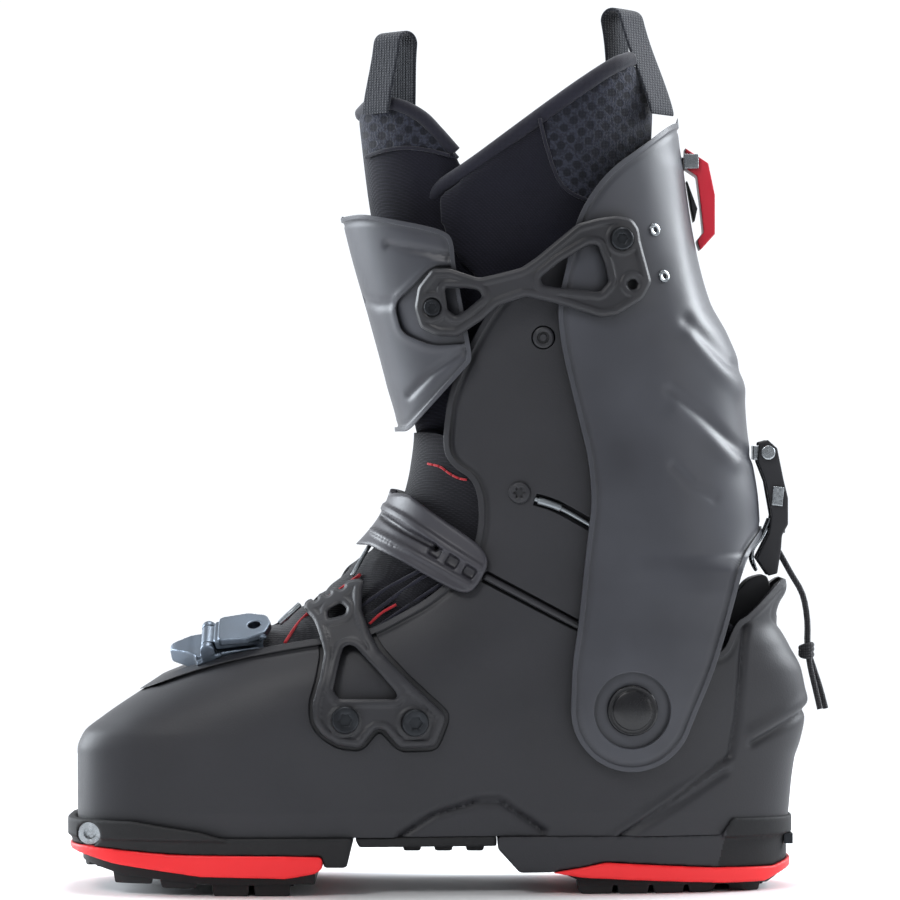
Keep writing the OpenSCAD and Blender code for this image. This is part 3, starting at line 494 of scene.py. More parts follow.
def cut(o, tool, op="DIFFERENCE"):
    """Boolean with a tool that is used up."""
    m = o.modifiers.new("cut", "BOOLEAN")
    m.operation, m.object, m.solver = op, tool, "MANIFOLD"
    bake(o)
    if not len(o.data.polygons):
        raise RuntimeError("nothing left of " + o.name)
    drop(tool)
    return o


def layer(low, high, outline, y=(-REACH, REACH), hole=None, step=2.0):
    """Shell between two offsets of the form, cut to a side-view outline."""
    zs = np.arange(max(13, min(v[1] for v in outline) - 4), min(328, max(v[1] for v in outline) + 4), step)
    u = around(300)
    o = tube_solid("layer", sheet_grid(high, zs, u))
    keep(o, outline, *y)
    inner = np.concatenate([[zs[0] - 1], zs, [zs[-1] + 1]])
    cut(o, tube_solid("core", sheet_grid(low, inner, u)))
    if hole:
        cut(o, prism(hole, -REACH - 1, REACH + 1))
    return o


def side_halves(outer, inner, *sides):
    """The wall between two grids, cut to one (outline, low y, high y) a side."""
    return [keep(plate_solid("half", outer, inner), *side) for side in sides]


def soften(o, voxel, smooth=4):
    """Rounds every edge by about a voxel."""
    m = o.modifiers.new("remesh", "REMESH")
    m.mode, m.voxel_size = "VOXEL", voxel * MM
    if smooth:
        s = o.modifiers.new("smooth", "SMOOTH")
        s.factor, s.iterations = 0.5, smooth
    return bake(o)


def finish_piece(o, mat, body, nodes=(), angle=0):
    """Material, shading and the CAD body that a piece moves with."""
    o.data.materials.clear()
    for m in mat if isinstance(mat, (list, tuple)) else [mat]:
        o.data.materials.append(m)
    if o.type == "MESH":
        o.data.polygons.foreach_set("use_smooth", [True] * len(o.data.polygons))
        if angle:
            o.data.set_sharp_from_angle(angle=math.radians(angle))
    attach(o, body)
    if nodes:
        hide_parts(*nodes)
    return o


def from_cad(node, name):
    """Loose copy of a CAD node's mesh."""
    o = bpy.data.objects.new(name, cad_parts[node].data.copy())
    SCENE.collection.objects.link(o)
    o.data.materials.clear()
    return o


def join(name, objs):
    bm = bmesh.new()
    for o in objs:
        me = o.data.copy()
        me.transform(o.matrix_world)
        bm.from_mesh(me)
        bpy.data.meshes.remove(me)
    me = bpy.data.meshes.new(name)
    bm.to_mesh(me)
    bm.free()
    drop(*objs)
    out = bpy.data.objects.new(name, me)
    SCENE.collection.objects.link(out)
    return out


def on_side(x, z, side=-1, lift=0.0):
    """Frame on the surface: local Z out of the boot, as part.scad places things."""
    lean_x = math.atan((side_y(x + 2, z) - side_y(x - 2, z)) / 4)
    lean_z = math.atan((side_y(x, z + 2) - side_y(x, z - 2)) / 4)
    at = Vector((x, float(BIAS(x)) + side * float(side_y(x, z)), z)) * MM
    turn = (Matrix.Rotation(-lean_x, 4, "Z") @ Matrix.Rotation(lean_z, 4, "X")
            @ Matrix.Rotation(math.radians(90), 4, "X"))
    flip = Matrix.Scale(-1, 4, (0, 1, 0)) if side > 0 else Matrix.Identity(4)
    return Matrix.Translation(at) @ flip @ turn @ Matrix.Translation((0, 0, lift * MM))


def along_y(x, y, z, out=-1):
    """Frame at a point with local Z along out times Y."""
    turn = Matrix.Rotation(math.radians(90 if out < 0 else -90), 4, "X")
    return Matrix.Translation(Vector((x, y, z)) * MM) @ turn


def lathe(name, profile, place, n=56, star=None):
    """Turned part from (radius, height) pairs; star bends the radii below star[0] into a socket."""
    verts, rows = [], []
    for r, h in profile:
        row = []
        for k in range(n):
            a = 2 * math.pi * k / n
            rr = r
            if star and r <= star[0] + 1e-6:
                rr = r * (1 + star[2] * math.cos(star[1] * a))
            row.append(len(verts))
            verts.append((rr * math.cos(a), rr * math.sin(a), h))
        rows.append(row)
    faces = [(a[k], a[(k + 1) % n], b[(k + 1) % n], b[k]) for a, b in zip(rows, rows[1:]) for k in range(n)]
    faces += [tuple(rows[0][::-1]), tuple(rows[-1])]
    o = new_mesh(name, verts, faces)
    o.data.transform(place)
    return outward(o)


def bore(r, low, high, place, n=56):
    """Round cutter along the local Z of a frame."""
    return lathe("bore", [(r, low), (r, high)], place, n)


def wire(name, points, r, closed=False, res=6):
    """Round wire as a bevelled curve."""
    c = bpy.data.curves.new(name, "CURVE")
    c.dimensions, c.bevel_depth, c.bevel_resolution = "3D", r * MM, res
    c.use_fill_caps = True
    s = c.splines.new("POLY")
    s.points.add(len(points) - 1)
    for p, v in zip(s.points, points):
        p.co = (v[0] * MM, v[1] * MM, v[2] * MM, 1)
    s.use_cyclic_u = closed
    o = bpy.data.objects.new(name, c)
    SCENE.collection.objects.link(o)
    return o


def wire_mesh(name, points, r, closed=False):
    o = wire(name, points, r, closed)
    bpy.context.view_layer.update()
    me = bpy.data.meshes.new_from_object(o.evaluated_get(bpy.context.evaluated_depsgraph_get()))
    c = o.data
    bpy.data.objects.remove(o)
    bpy.data.curves.remove(c)
    bm = bmesh.new()
    bm.from_mesh(me)
    bmesh.ops.remove_doubles(bm, verts=bm.verts, dist=0.01 * MM)
    bm.to_mesh(me)
    bm.free()
    out = bpy.data.objects.new(name, me)
    SCENE.collection.objects.link(out)
    return outward(out)


def on_form(x, z, off, side=-1):
    return (x, float(BIAS(x)) + side * float(side_y(x, z, off)), z)


# ---------------- release cord
# Both strands run side by side down to the knot, then part
STRAND_FALL = [(144.5, 140), (149.5, 131), (154.5, 122), (156.5, 111), (156.6, 100)]
STRAND_TAILS = {
    "pull_cord": [(157.5, -2, 92), (159.5, -3, 83), (161.5, -4, 74)],
    "tail_cord": [(159, 1.5, 92), (162, 2.5, 83), (164.5, 4, 74)],
}
STRAND_SIDE = 1.3
CORD_D = 2.4
KNOT_AT = (156.1, 98.5)
knot_parts = []
for k in range(3):
    turns = np.linspace(0, 2 * math.pi, 20, endpoint=False)
    loop = [(KNOT_AT[0] + 2.2 * math.cos(a), 2.5 * math.sin(a),
             KNOT_AT[1] + 1.7 * (k - 1) + 0.7 * math.sin(a + k)) for a in turns]
    knot_parts.append(wire_mesh("turn", loop, 1.25, True))
knot = finish_piece(soften(join("overhand_knot", knot_parts), 0.3, 2), CORD_SHEATH, "walk_lever",
                    ["cord_knot"], angle=38)
for side, (name, tail) in zip(BOTH, STRAND_TAILS.items()):
    points = [(x, side * STRAND_SIDE, z) for x, z in STRAND_FALL] + tail
    line = spline(points, 3)
    piece = finish_piece(wire(name + "_sheath", line, CORD_D / 2), CORD_SHEATH, "walk_lever", [name],
                         angle=38)

# ---------------- lower shell
SHELL_OUT = [[-160, 10], [-160, 72], [-100, 94], [-82, 99], [-56, 104], [-28, 108], [-2, 122], [14, 137],
             [18, 150], [18, 163], [15, 171], [8, 175], [3, 182], [4, 196], [6, 208], [14, 226], [22, 240],
             [36, 257], [50, 262], [57, 264], [63, 240], [71, 185], [73, 130], [81, 108], [102, 108],
             [118, 96], [124, 112], [129.5, 114], [146.3, 131.5], [147, 124], [143, 118], [142, 112],
             [160, 105], [160, 10]]
HEEL_EDGE = [(148, 131), (129.4, 113.6), (127.4, 103.6), (124.9, 72.4), (121.9, 56.2), (96, 37), (70.8, 20)]
ANCHOR_ROUTE = [(41, 162.5), (50, 159.5), (62, 153), (72, 147)]
INSTEP_ROUTE = [(20, 131), (38, 121.5), (57, 111.5), (66, 107)]
RACK_OUT = [[-54.4, 119.5], [-51.6, 121], [-50.6, 119.6], [-48.6, 120.6], [-49, 122.4], [-46.6, 123.6],
            [-45.2, 122], [-43.2, 122.8], [-43.6, 124.9], [-41.2, 126.1], [-39.6, 124.6], [-37.6, 125.6],
            [-37.6, 127.8], [-34.8, 129], [-31.4, 129.4], [-29, 128.5],
            [-30.2, 125.9], [-30.2, 116.6], [-26.7, 107.8], [-23, 101], [-11.5, 89], [3.9, 74.8], [4.2, 72],
            [0.7, 63], [-1, 61.1], [-14, 60.8], [-21, 68.7], [-24.4, 68.7], [-30.5, 61.1], [-39.5, 62.3],
            [-46, 66.4], [-49.5, 71.6], [-50, 79], [-47, 89.7], [-45.4, 99.7], [-47.7, 107], [-50, 112.5],
            [-54.4, 116.6]]
RACK_HOLE = [[-34.9, 103], [-32.5, 102], [-23, 92], [-15.6, 83.3], [-15.6, 81], [-39, 81], [-41.6, 84.5],
             [-39, 96.7], [-37.5, 102]]
RACK_BOLTS = [(-36.9, 72.2), (-8.9, 71.3)]
shell_line = rounded(SHELL_OUT, 9)
rack_line = rounded([[-56, 119], [-31, 131]] + RACK_OUT[15:], 3)


def behind(x, z, path, width):
    """1 on the heel's side of a line drawn downward, 0 in front of it, over a soft width."""
    zs = np.array([p[1] for p in path[::-1]])
    xs = np.array([p[0] for p in path[::-1]])
    return ease((x - np.interp(z, zs, xs)) / width + 0.5)


ARCH_LINE = [(-14.6, 24), (0, 33.5), (18.7, 39.1), (27, 39.1), (45, 26)]
SHELL_CREASES = [
    (HEEL_EDGE, 2.2, 1.1),
    ([(154, 74.5), (146, 69.5), (130.7, 61.2)], 3.0, 1.5),
    ([(155, 79), (146, 74.5), (131, 66)], 6, -1.0),
    ([(119, 49.5), (98, 36), (78, 24)], 3.2, 1.3),
    ([(120, 53), (98, 40), (74, 24)], 4, -0.8),
    (ARCH_LINE, 3.0, 1.7),
    ([(-128, 60), (-80, 66), (-58, 52), (-40, 34)], 26, 0.9),
    ([(60, 104), (20, 84), (10, 62), (14, 44)], 30, 0.8),
]


def shell_shape(x, z, side):
    d = 1.3 * behind(x, z, HEEL_EDGE, 1.3) + creases(x, z, SHELL_CREASES)
    d = d - 1.2 * (z < 38.5) * inside(x, z, [(-14.6, 20)] + ARCH_LINE + [(45, 20)])
    return d + np.where(z > 84, edge_line(x, z, shell_line, 3.4, 0.5, 0.9), 0)


STEP = 1.0  # grid spacing of the big walls
us = around(int(620 / STEP))
shell_grid = push(sheet_grid(0, np.arange(24, 290.01, STEP), us), shell_shape, True)
lower = tube_solid("lower_shell_body", shell_grid)
coarse_us = around(240)
cut(lower, tube_solid("core", sheet_grid(-4.5, np.linspace(28.5, 292, 110), coarse_us)))
keep(lower, shell_line)
cut(lower, prism([(126, 116), (166, 116), (166, 156), (126, 156)], -11.5, 11.5))  # slot of the latch
cut(lower, prism([(-60, 176), (6, 176), (6, 306), (-60, 306)], -30, 30))  # open throat
cut(lower, bore(4.9, -7, 6, on_side(*PLUG_AT)))
for side in BOTH:
    cut(lower, bore(7.3, -30, 30, along_y(PIVOT[0], side * 48, PIVOT[1], side)))
cut(lower, bore(4.9, -60, 60, along_y(PIN_AT[0], 0, PIN_AT[1])))
for places in (ANCHOR_ROUTE, INSTEP_ROUTE):
    cut(lower, wire_mesh("channel", spline([on_form(x, z, 0.6) for x, z in places], 8), 2.7))
cut(lower, layer(-1.2, 4, inset(rack_line, -1.8), (-REACH, 0)))
lip = layer(-1.0, 0.75, shell_line, hole=inset(shell_line, 2.4))
cut(lip, prism([(-170, 5), (170, 5), (170, 96), (40, 100), (-60, 96), (-170, 60)], -97, 97))
cut(lower, lip, "UNION")
LEAN = 6  # degrees that the cuff leans forward, over wings relieved to stay inside it
at_pivot = Matrix.Translation(Vector((PIVOT[0], 0, PIVOT[1])) * MM)
swept = tube_solid("swept", sheet_grid(1.3, np.linspace(70, 330, 100), coarse_us))
swept.data.transform(at_pivot @ Matrix.Rotation(math.radians(-LEAN), 4, "Y") @ at_pivot.inverted())
relief = cut(prism([(22, 112), (100, 112), (100, 300), (22, 300)], -92, 92), swept)
cut(lower, relief)
finish_piece(lower, SHELL, "shell", ["lower_shell"], angle=38)

# ---------------- cuff
disc = [(PIVOT[0] + 25.3 * math.cos(math.radians(a)), PIVOT[1] + 25.3 * math.sin(math.radians(a)))
        for a in range(175, 346, 10)]
CUFF_FRONT = [(98, 318), (85, 307.5), (73, 299), (64.5, 289), (58, 277.5), (50, 241), (52, 224), (57, 203.5),
              (63, 179), (64.5, 162), (61.5, 137), (59, 112), (56.4, 95)]
cuff_line = rounded([(102, 319.5)] + CUFF_FRONT + disc + [(109, 78), (114.5, 91), (120.5, 110), (127, 135),
                                                         (134, 145), (145, 156), (145, 240), (120, 330),
                                                         (102, 330)], 7)


CUFF_CREASES = [
    ([(104, 236), (113, 227), (122, 219), (134, 214)], 6, 1.0),
    ([(106, 229), (115, 219), (127, 208)], 8, -0.8),
    ([(97, 207), (110, 197), (121, 187), (131, 180)], 5, 1.0),
    ([(99, 198), (112, 188), (124, 178)], 8, -0.7),
    ([(98, 176), (106, 168), (115, 163)], 4, 0.7),
    ([(84, 240), (80, 200), (82, 150), (84, 110)], 26, 0.8),
    ([(100, 300), (103, 262), (108, 236)], 10, -0.6),
]


def cuff_shape(x, z, side):
    return edge_line(x, z, cuff_line, 3.0, 0.45, 0.8) + creases(x, z, CUFF_CREASES)


cuff_us = np.linspace(-1.25, 1.25, int(400 / STEP))
cuff_zs = np.arange(45, 325.01, STEP)
cuff = plate_solid("cuff_body", push(sheet_grid(5.8, cuff_zs, cuff_us), cuff_shape, False),
                   sheet_grid(1.8, cuff_zs, cuff_us))
keep(cuff, cuff_line)
cut(cuff, layer(5.0, 6.4, cuff_line, hole=inset(cuff_line, 2.0)), "UNION")
for side in BOTH:
    cut(cuff, bore(7.2, -30, 30, along_y(PIVOT[0], side * 52, PIVOT[1], side), 64))
cut(cuff, layer(3.5, 9, circle(PIVOT[0], PIVOT[1], 15.8, 96), step=1.0))
finish_piece(cuff, CUFF, "cuff", ["cuff"], angle=38)

# ---------------- shin plate
PLATE_OUT = [[-60, 279], [-38, 280], [-30, 280.5], [-5, 275], [4, 272.5], [7.5, 269], [8.3, 258.5], [14, 228],
             [15.4, 220], [13, 217], [-11, 190.5], [-14.5, 190.5], [-60, 190.5]]
PLATE_FAR = [[-60, 281], [-38, 281], [-5, 275], [6, 268], [8, 240], [2, 215], [-12, 190.5], [-60, 190.5]]
POCKET = [(9.7, 258.4), (-1.1, 258.4), (-7.9, 251.5), (-17, 243.2), (-13.8, 230.9), (-1.1, 225.5),
          (14.7, 226.5)]
plate_line = rounded(PLATE_OUT, 5)
pocket_line = rounded(POCKET, 4)


PLATE_CREASES = [
    ([(-19.7, 267.2), (-4, 264.3), (7.8, 261.5)], 3, 1.2),
    ([(-10.9, 205.4), (-2, 214.2), (14.7, 225.5)], 3, 1.2),
    ([(-17, 243.2), (-24, 243), (-33, 246)], 4, 0.7),
]


def plate_shape(x, z, side):
    pocket_rim = 0.5 * np.exp(-((signed(x, z, pocket_line) - 1.2) / 1.4) ** 2)
    d = np.where(side < 0, pocket_rim + creases(x, z, PLATE_CREASES), 0)
    d = d + edge_line(x, z, plate_line, 2.8, 0.45, 0.8)
    return d + groove(x, z, [(-46, 262), (-30, 240), (-26, 215), (-20, 195)], 14, 0.7)


plate_us = np.linspace(1.15, 2.85, int(260 / STEP))
plate_zs = np.arange(187, 284.01, STEP)
plate_o = push(sheet_grid(5.4, plate_zs, plate_us), plate_shape, False)
plate_i = sheet_grid(2.2, plate_zs, plate_us)
plate, far_half = side_halves(plate_o, plate_i, (plate_line, -REACH, 0), (rounded(PLATE_FAR, 5), 0, REACH))
cut(plate, far_half, "UNION")
cut(plate, layer(3.9, 9, pocket_line, (-REACH, 0)))
cut(plate, layer(4.6, 6.0, plate_line, (-REACH, 0), inset(plate_line, 1.8)), "UNION")
plate.name = "shin_plate_body"
finish_piece(plate, CUFF, "front_plate", ["shin_plate"], angle=38)


# ---------------- small fittings on the form
def fitting(name, outline, holes, off, thick, ridge, us_range, body, node):
    """Bracket that hugs the boot: an outline with windows, a raised rim, and rounded edges."""
    line = rounded(outline, 1.6)
    windows = [rounded(h, 1.2) for h in holes]
    heights = [p[1] for p in line]
    zs = np.arange(min(heights) - 3, max(heights) + 3, 0.5)
    span = np.linspace(us_range[0], us_range[1], int((us_range[1] - us_range[0]) * 110 / 0.5))

    def top(x, z, side):
        d = near(x, z, line + line[:1])
        for w in windows:
            d = np.minimum(d, near(x, z, w + w[:1]))
        return ridge * ease((3.4 - d) / 0.5) - 1.1 * np.clip((1.2 - d) / 1.2, 0, 1)

    face = push(sheet_grid(off + thick - ridge, zs, span), top, False)
    o = plate_solid(name, face, sheet_grid(off, zs, span))
    keep(o, line, -REACH, 0)
    for w in windows:
        cut(o, prism(w))
    finish_piece(soften(o, 0.36, 1), NYLON, body, [node])


rack_holes = [RACK_HOLE, [(-44.2, 116.6), (-39, 119.5), (-36.3, 117.2), (-37.2, 114.8), (-43.9, 113.1)]]
rack_holes += [circle(x, z, 3.3, 24) for x, z in RACK_BOLTS]
fitting("rack_bracket_body", RACK_OUT, rack_holes, 0.3, 4.3, 0.6, (2.0, 3.2), "shell", "rack_bracket")

LINK_OUT = [[-1, 257], [6, 257], [18, 253], [25, 254.5], [35, 257], [41, 261], [58, 275], [67, 277.5],
            [74.5, 278.5], [80.5, 277.5], [83.5, 273.5], [84.3, 268], [88.8, 251.5], [85, 244.5], [74.5, 238],
            [67.5, 237], [50, 242.5], [37, 245.5], [25.5, 241.5], [19.5, 236], [9, 229], [1, 229.5],
            [-6, 233], [-8.4, 241], [-7, 249.5]]
LINK_HOLES = [[[4, 249], [12.7, 249], [18, 248], [19.5, 245.5], [12.7, 240], [8.8, 237.5], [5.3, 240]],
              [[43, 253], [51, 259.5], [62.7, 266.5], [66.5, 266.5], [69.5, 258.5], [71, 251.5],
               [67.5, 247.5], [50, 249], [44, 250]]]
LINK_HOLES += [circle(*LINK_BOLT, 3.5, 24), circle(*LINK_EYE, 2.0, 20), circle(*LINK_RIVET, 3.1, 24)]
fitting("cross_link_body", LINK_OUT, LINK_HOLES, 6.8, 4.0, 0.7, (2.05, 3.9), "front_plate", "x_link")

STRAP_OUT = [[-20, 165], [-10.5, 164.5], [-8.5, 162.5], [-1, 157], [16, 145.5], [20.5, 141], [22, 136.5],
             [20.5, 132.5], [18, 128], [15, 124.3], [10.5, 124], [2, 128], [-15, 137.5], [-23, 141],
             [-28, 143.5], [-36, 143]]
STRAP_FAR = [[-50, 143], [-50, 170], [-14, 166], [-2, 158], [8, 150], [10, 142], [2, 134], [-14, 138],
             [-28, 143]]
STRAP_SLOTS = [rounded([(x + 2.1 * a + 1.1 * b, z - 1.3 * a + 1.9 * b)
                        for a, b in ((-1, -1), (1, -1), (1, 1), (-1, 1))], 0.8)
               for x, z in ((0, 141.2), (7, 137), (14, 132.8))]
strap_line = rounded(STRAP_OUT, 4)


# ribs and the channel between them: path, half width, height
STRAP_RIBS = [
    ([(-24, 160), (-13.3, 154.6), (-4, 148.6), (6, 142), (18, 134.5)], 1.9, 1.0),
    ([(-26, 149), (-13, 142.6), (0, 135.6), (14, 127.6)], 1.5, 1.0),
    ([(-22, 155), (-12, 149), (0, 143)], 1.5, -1.7),
]


def strap_shape(x, z, side):
    d = sum(high * ease((half - near(x, z, path)) / 0.6) for path, half, high in STRAP_RIBS)
    d = d - sum(1.9 * ease((0.3 - signed(x, z, slot)) / 0.5) for slot in STRAP_SLOTS)
    return np.where(side < 0, d - 0.8 * ease((1.2 - near(x, z, strap_line)) / 1.2), 0)


strap_us = np.linspace(1.3, 2.95, 420)
strap_zs = np.arange(117, 171, 0.6)
strap_o = push(sheet_grid(4.2, strap_zs, strap_us), strap_shape, False)
strap_i = sheet_grid(1.0, strap_zs, strap_us)
halves = side_halves(strap_o, strap_i, (strap_line, -REACH, 0.01), (rounded(STRAP_FAR, 4), -4, REACH))
strap = soften(join("instep_strap_body", halves), 0.42, 4)
finish_piece(strap, STRAP, "shell", ["instep_strap"])

# ---------------- turned and round parts
BOLT = [(2.5, 0.7), (2.5, 1.9), (3.2, 2.1), (4.9, 2.0), (5.5, 1.5), (5.7, 0.6), (5.7, -0.1), (3.0, -0.2),
        (3.0, -6)]


def bolt(name, place, scale, body, node):
    """Socket-headed bolt; scale 1 is the bracket's size."""
    profile = [(r * scale, h * scale) for r, h in BOLT]
    o = lathe(name, profile, place, star=(2.51 * scale, 6, 0.1))
    finish_piece(o, DARK_STEEL, body, [node], angle=30)


for k, (x, z) in enumerate(RACK_BOLTS):
    bolt(f"rack_bolt_{k}", on_side(x, z, -1, 5.6), 1.0, "shell", "rack_bolts")
link_face = float(side_y(*LINK_BOLT, 10.8))
bolt("link_bolt_head", along_y(LINK_BOLT[0], -link_face - 1.4, LINK_BOLT[1]), 0.82, "cuff", "x_link_bolt")
rivet_face = float(side_y(*LINK_RIVET, 10.6))
bolt("link_rivet_head", along_y(LINK_RIVET[0], -rivet_face, LINK_RIVET[1]), 0.62, "front_plate",
     "x_link_rivet")
PLUG = [(1.4, 0.2), (1.5, -0.7), (2.4, -0.7), (2.5, 0.3), (3.6, 0.5), (4.3, 0.2), (4.5, -0.5), (4.5, -3.2)]
finish_piece(lathe("wing_plug", PLUG, on_side(*PLUG_AT, -1, 0.2)), NYLON, "shell",
             ["shell_plug"], angle=30)
KNOB = [(1.9, 0.2), (2.0, 1.2), (3.0, 1.5), (4.1, 1.2), (4.6, 0.6), (4.6, -0.6)]
knob = lathe("anchor_knob", KNOB, on_side(34.8, 165.2, -1, 0.1), star=(2.1, 6, 0.22))
finish_piece(knob, NYLON, "shell", ["cable_anchor"], angle=30)
NUT = [(1.15, -1.0), (1.15, 0.7), (1.8, 0.95), (2.5, 0.75), (2.7, 0.3), (2.7, -0.1)]
nuts = [lathe("nut", NUT, on_side(x, z, -1, 5.9)) for x, z in ((86.6, 272.6), (90.6, 253.2))]
finish_piece(join("cuff_tee_nuts", nuts), STEEL, "cuff", ["cuff_nuts"], angle=30)
CAP = [(0.6, 3.1), (4, 2.95), (7.2, 2.5), (7.9, 2.2), (8.2, 1.5), (8.9, 1.4), (9.9, 1.5), (10.4, 0.9),
       (10.4, 0.1), (7.0, 0), (7.0, -8)]
cap_face = float(side_y(*PIVOT, 5.8)) - 0.9
caps = [lathe("cap", CAP, along_y(PIVOT[0], side * cap_face, PIVOT[1], side), 96) for side in BOTH]
finish_piece(join("pivot_rivet_caps", caps), GLOSS, "shell", ["pivot_rivets"], angle=30)


def cable(name, points, steps, r, mat, body, slot, *nodes):
    finish_piece(wire_mesh(name, spline(points, steps), r), mat, body, nodes)


def route(places, off):
    return [on_form(x, z, off) for x, z in places]


cable("anchor_cable_wire", route(ANCHOR_ROUTE, -0.4), 8, 0.95, ROPE, "shell", "wire", "anchor_cable")
SLEEVE_ROUTE = [(42.5, 161.9), (47, 160.6), (51.8, 158.8)]
LOOP_ROUTE = [(-27, 143.5), (-30, 138.5), (-32.5, 134), (-34.5, 130.5)]
TOE_ROUTE = [(-64.5, -27.5, 111), (-62, -28, 113.4), (-59, -28, 116), (-56.2, -26.5, 118.6)]
cable("crimp_sleeve", route(SLEEVE_ROUTE, -0.1), 6, 1.6, ROPE, "shell", "steel")
cable("instep_cable_sheath", route(INSTEP_ROUTE, -0.3), 8, 1.5, NYLON, "shell", "cable_sheath",
      "instep_cable")
cable("instep_loop_wire", route(LOOP_ROUTE, 1.8), 6, 0.9, ROPE, "shell", "wire", "instep_wire")
cable("toe_cable_wire", TOE_ROUTE, 5, 1.2, ROPE, "toe_cable", "wire", "toe_cable")

# ---------------- parts rounded from their CAD solids
ROUNDED = [
    ("instep_base", 0.4, 3, NYLON, "shell"), ("instep_lever", 0.35, 4, BUCKLE, "instep_lever"),
    ("instep_bail", 0.3, 6, STEEL, "instep_bail"), ("cuff_base", 0.4, 3, NYLON, "cuff"),
    ("cuff_lever", 0.35, 4, BUCKLE, "cuff_lever"), ("cuff_bail", 0.3, 6, STEEL, "cuff_bail"),
    ("plate_ladder", 0.35, 3, NYLON, "front_plate"), ("walk_lever", 0.35, 5, NYLON, "walk_lever"),
    ("walk_lever_pin", 0.3, 4, STEEL, "cuff"), ("walk_lever_plate", 0.2, 3, STEEL, "walk_lever"),
    ("latch_wire", 0.25, 6, STEEL, "walk_lever"), ("heel_latch_bar", 0.3, 4, STEEL, "shell"),
    ("rear_hook", 0.4, 6, HOOK_RED, "rear_hook"), ("hook_wedge", 0.4, 4, NYLON, "cuff"),
    ("hook_rivet", 0.3, 4, STEEL, "cuff"),
]
for node, voxel, smooth, mat, body in ROUNDED:
    o = soften(from_cad(node, node + "_body"), voxel, smooth)
    finish_piece(o, mat, body, [node])


def panel(o, poly):
    """Second material on the faces inside a side-view outline."""
    me = o.data
    mid = np.empty(len(me.polygons) * 3)
    me.polygons.foreach_get("center", mid)
    mid = mid.reshape(-1, 3) / MM
    me.polygons.foreach_set("material_index", inside(mid[:, 0], mid[:, 2], poly).astype(int))


def local_prism(outline, r, half, place):
    o = prism(rounded(outline, r), -half, half)
    o.data.transform(place)
    return outward(o)


at_toe = (Matrix.Translation(Vector((-94, -27, 104.4)) * MM) @ Matrix.Rotation(math.radians(33), 4, "X")
          @ Matrix.Rotation(math.radians(-8), 4, "Y"))
TOE_PAD = [(-17.5, -12), (-17.5, -6.2), (-15, -4.9), (-8, -2.6), (20, -1.6), (25, -3.2), (22, -6.5),
           (-8, -11)]
TOE_BEAK = [(-30, -3), (-18, -4.5), (-5.5, 7), (-5.5, 12), (-30, 12)]
TOE_WEB = [(3, -1), (20, -1), (25.5, 1.8), (25, 3), (3, 3.4)]
pad = local_prism(TOE_PAD, 1.2, 8, at_toe)
seat = soften(join("toe_buckle_seat", [from_cad("toe_buckle_base", "base"), pad]), 0.35, 0)
cut(seat, local_prism(TOE_BEAK, 1.5, 20, at_toe @ Matrix.Rotation(math.radians(90), 4, "X")))
finish_piece(soften(seat, 0.35, 3), BUCKLE, "shell", ["toe_buckle_base"])
web = local_prism(TOE_WEB, 1, 7, at_toe)
cut(web, bore(2.8, -20, 20, at_toe @ Matrix.Translation((20 * MM, 0, 0)), 40))
finish_piece(soften(join("toe_lever_body", [from_cad("toe_buckle_lever", "lever"), web]), 0.35, 4), BUCKLE,
             "toe_lever", ["toe_buckle_lever"])


# ---------------- sole
def plan_block(name, off, n, levels):
    plan = ring(26.0, off, around(n))
    return tube_solid(name, np.array([plan * (1, 1, 0) + (0, 0, z) for z in levels]))


def sole_piece(name, outline, off, r):
    """Plan of the sole grown by off, cut to a side-view outline."""
    o = plan_block(name, off, 400, (-2, 14, 30, 46))
    return keep(o, rounded(outline, r))


def plan_core(off):
    """Upright block with the plan of the sole grown by off."""
    return plan_block("core", off, 240, (-5, 60))


FLOOR = 24  # top of the sole blocks
block = sole_piece("block", [[-160, 20.8], [-108, 17.3], [-58, 16.8], [-46.1, 16.6], [-45.4, 12], [-36, 12],
                             [-33.5, FLOOR], [-160, FLOOR]], 2.5, 1)
rim = cut(sole_piece("rim", [[-160, 23], [-84, 23], [-96, 26.4], [-124, 30.4], [-160, 30.8]], 4.2, 1.5),
          plan_core(0.4))
toe_block = join("toe_block", [block, rim])
cut(toe_block, bore(4.9, -60, 60, along_y(PIN_AT[0], 0, PIN_AT[1])))
finish_piece(soften(toe_block, 0.75, 3), RUBBER, "shell", ["toe_sole_block"])
band = sole_piece("toe_band", [[-160, 19.8], [-132, 12.9], [-96, 8.3], [-60, 7.6], [-48.7, 9.6], [-45.6, 12],
                               [-46.2, 16.5], [-58, 16.8], [-108, 17.3], [-160, 20.8]], 3.2, 1.6)
finish_piece(soften(band, 0.7, 3), RED, "shell", ["toe_red_band"])
heel = sole_piece("heel_a", [[25.8, 19], [35, 9], [47.9, 9.2], [60.3, 11.2], [70.3, 13.3], [113.6, 10.5],
                             [140, 10], [151.1, 13.7], [151.1, 18], [145.5, 18.4], [145.5, 23.4],
                             [151.1, 23.4], [156, FLOOR], [25.8, FLOOR]], 1, 0.8)
skirt = cut(sole_piece("skirt", [[118, 23], [158, 23], [158, 30], [123, 30.8]], 3.2, 1), plan_core(0.4))
heel_piece = finish_piece(soften(join("heel_block", [heel, skirt]), 0.75, 3), [RUBBER, SHELL], "shell",
                          ["heel_sole_block"])
panel(heel_piece, [(20, 0), (114, 0), (122, 31.5), (20, 31.5)])
SPINE_SIDE = [(112, 98), (126, 108), (141, 121), (139, 131), (131, 129), (122, 118)]
spine = prism(rounded(SPINE_SIDE, 3), -10, 10, "heel_spine")
finish_piece(soften(spine, 0.5, 3), NYLON, "shell")
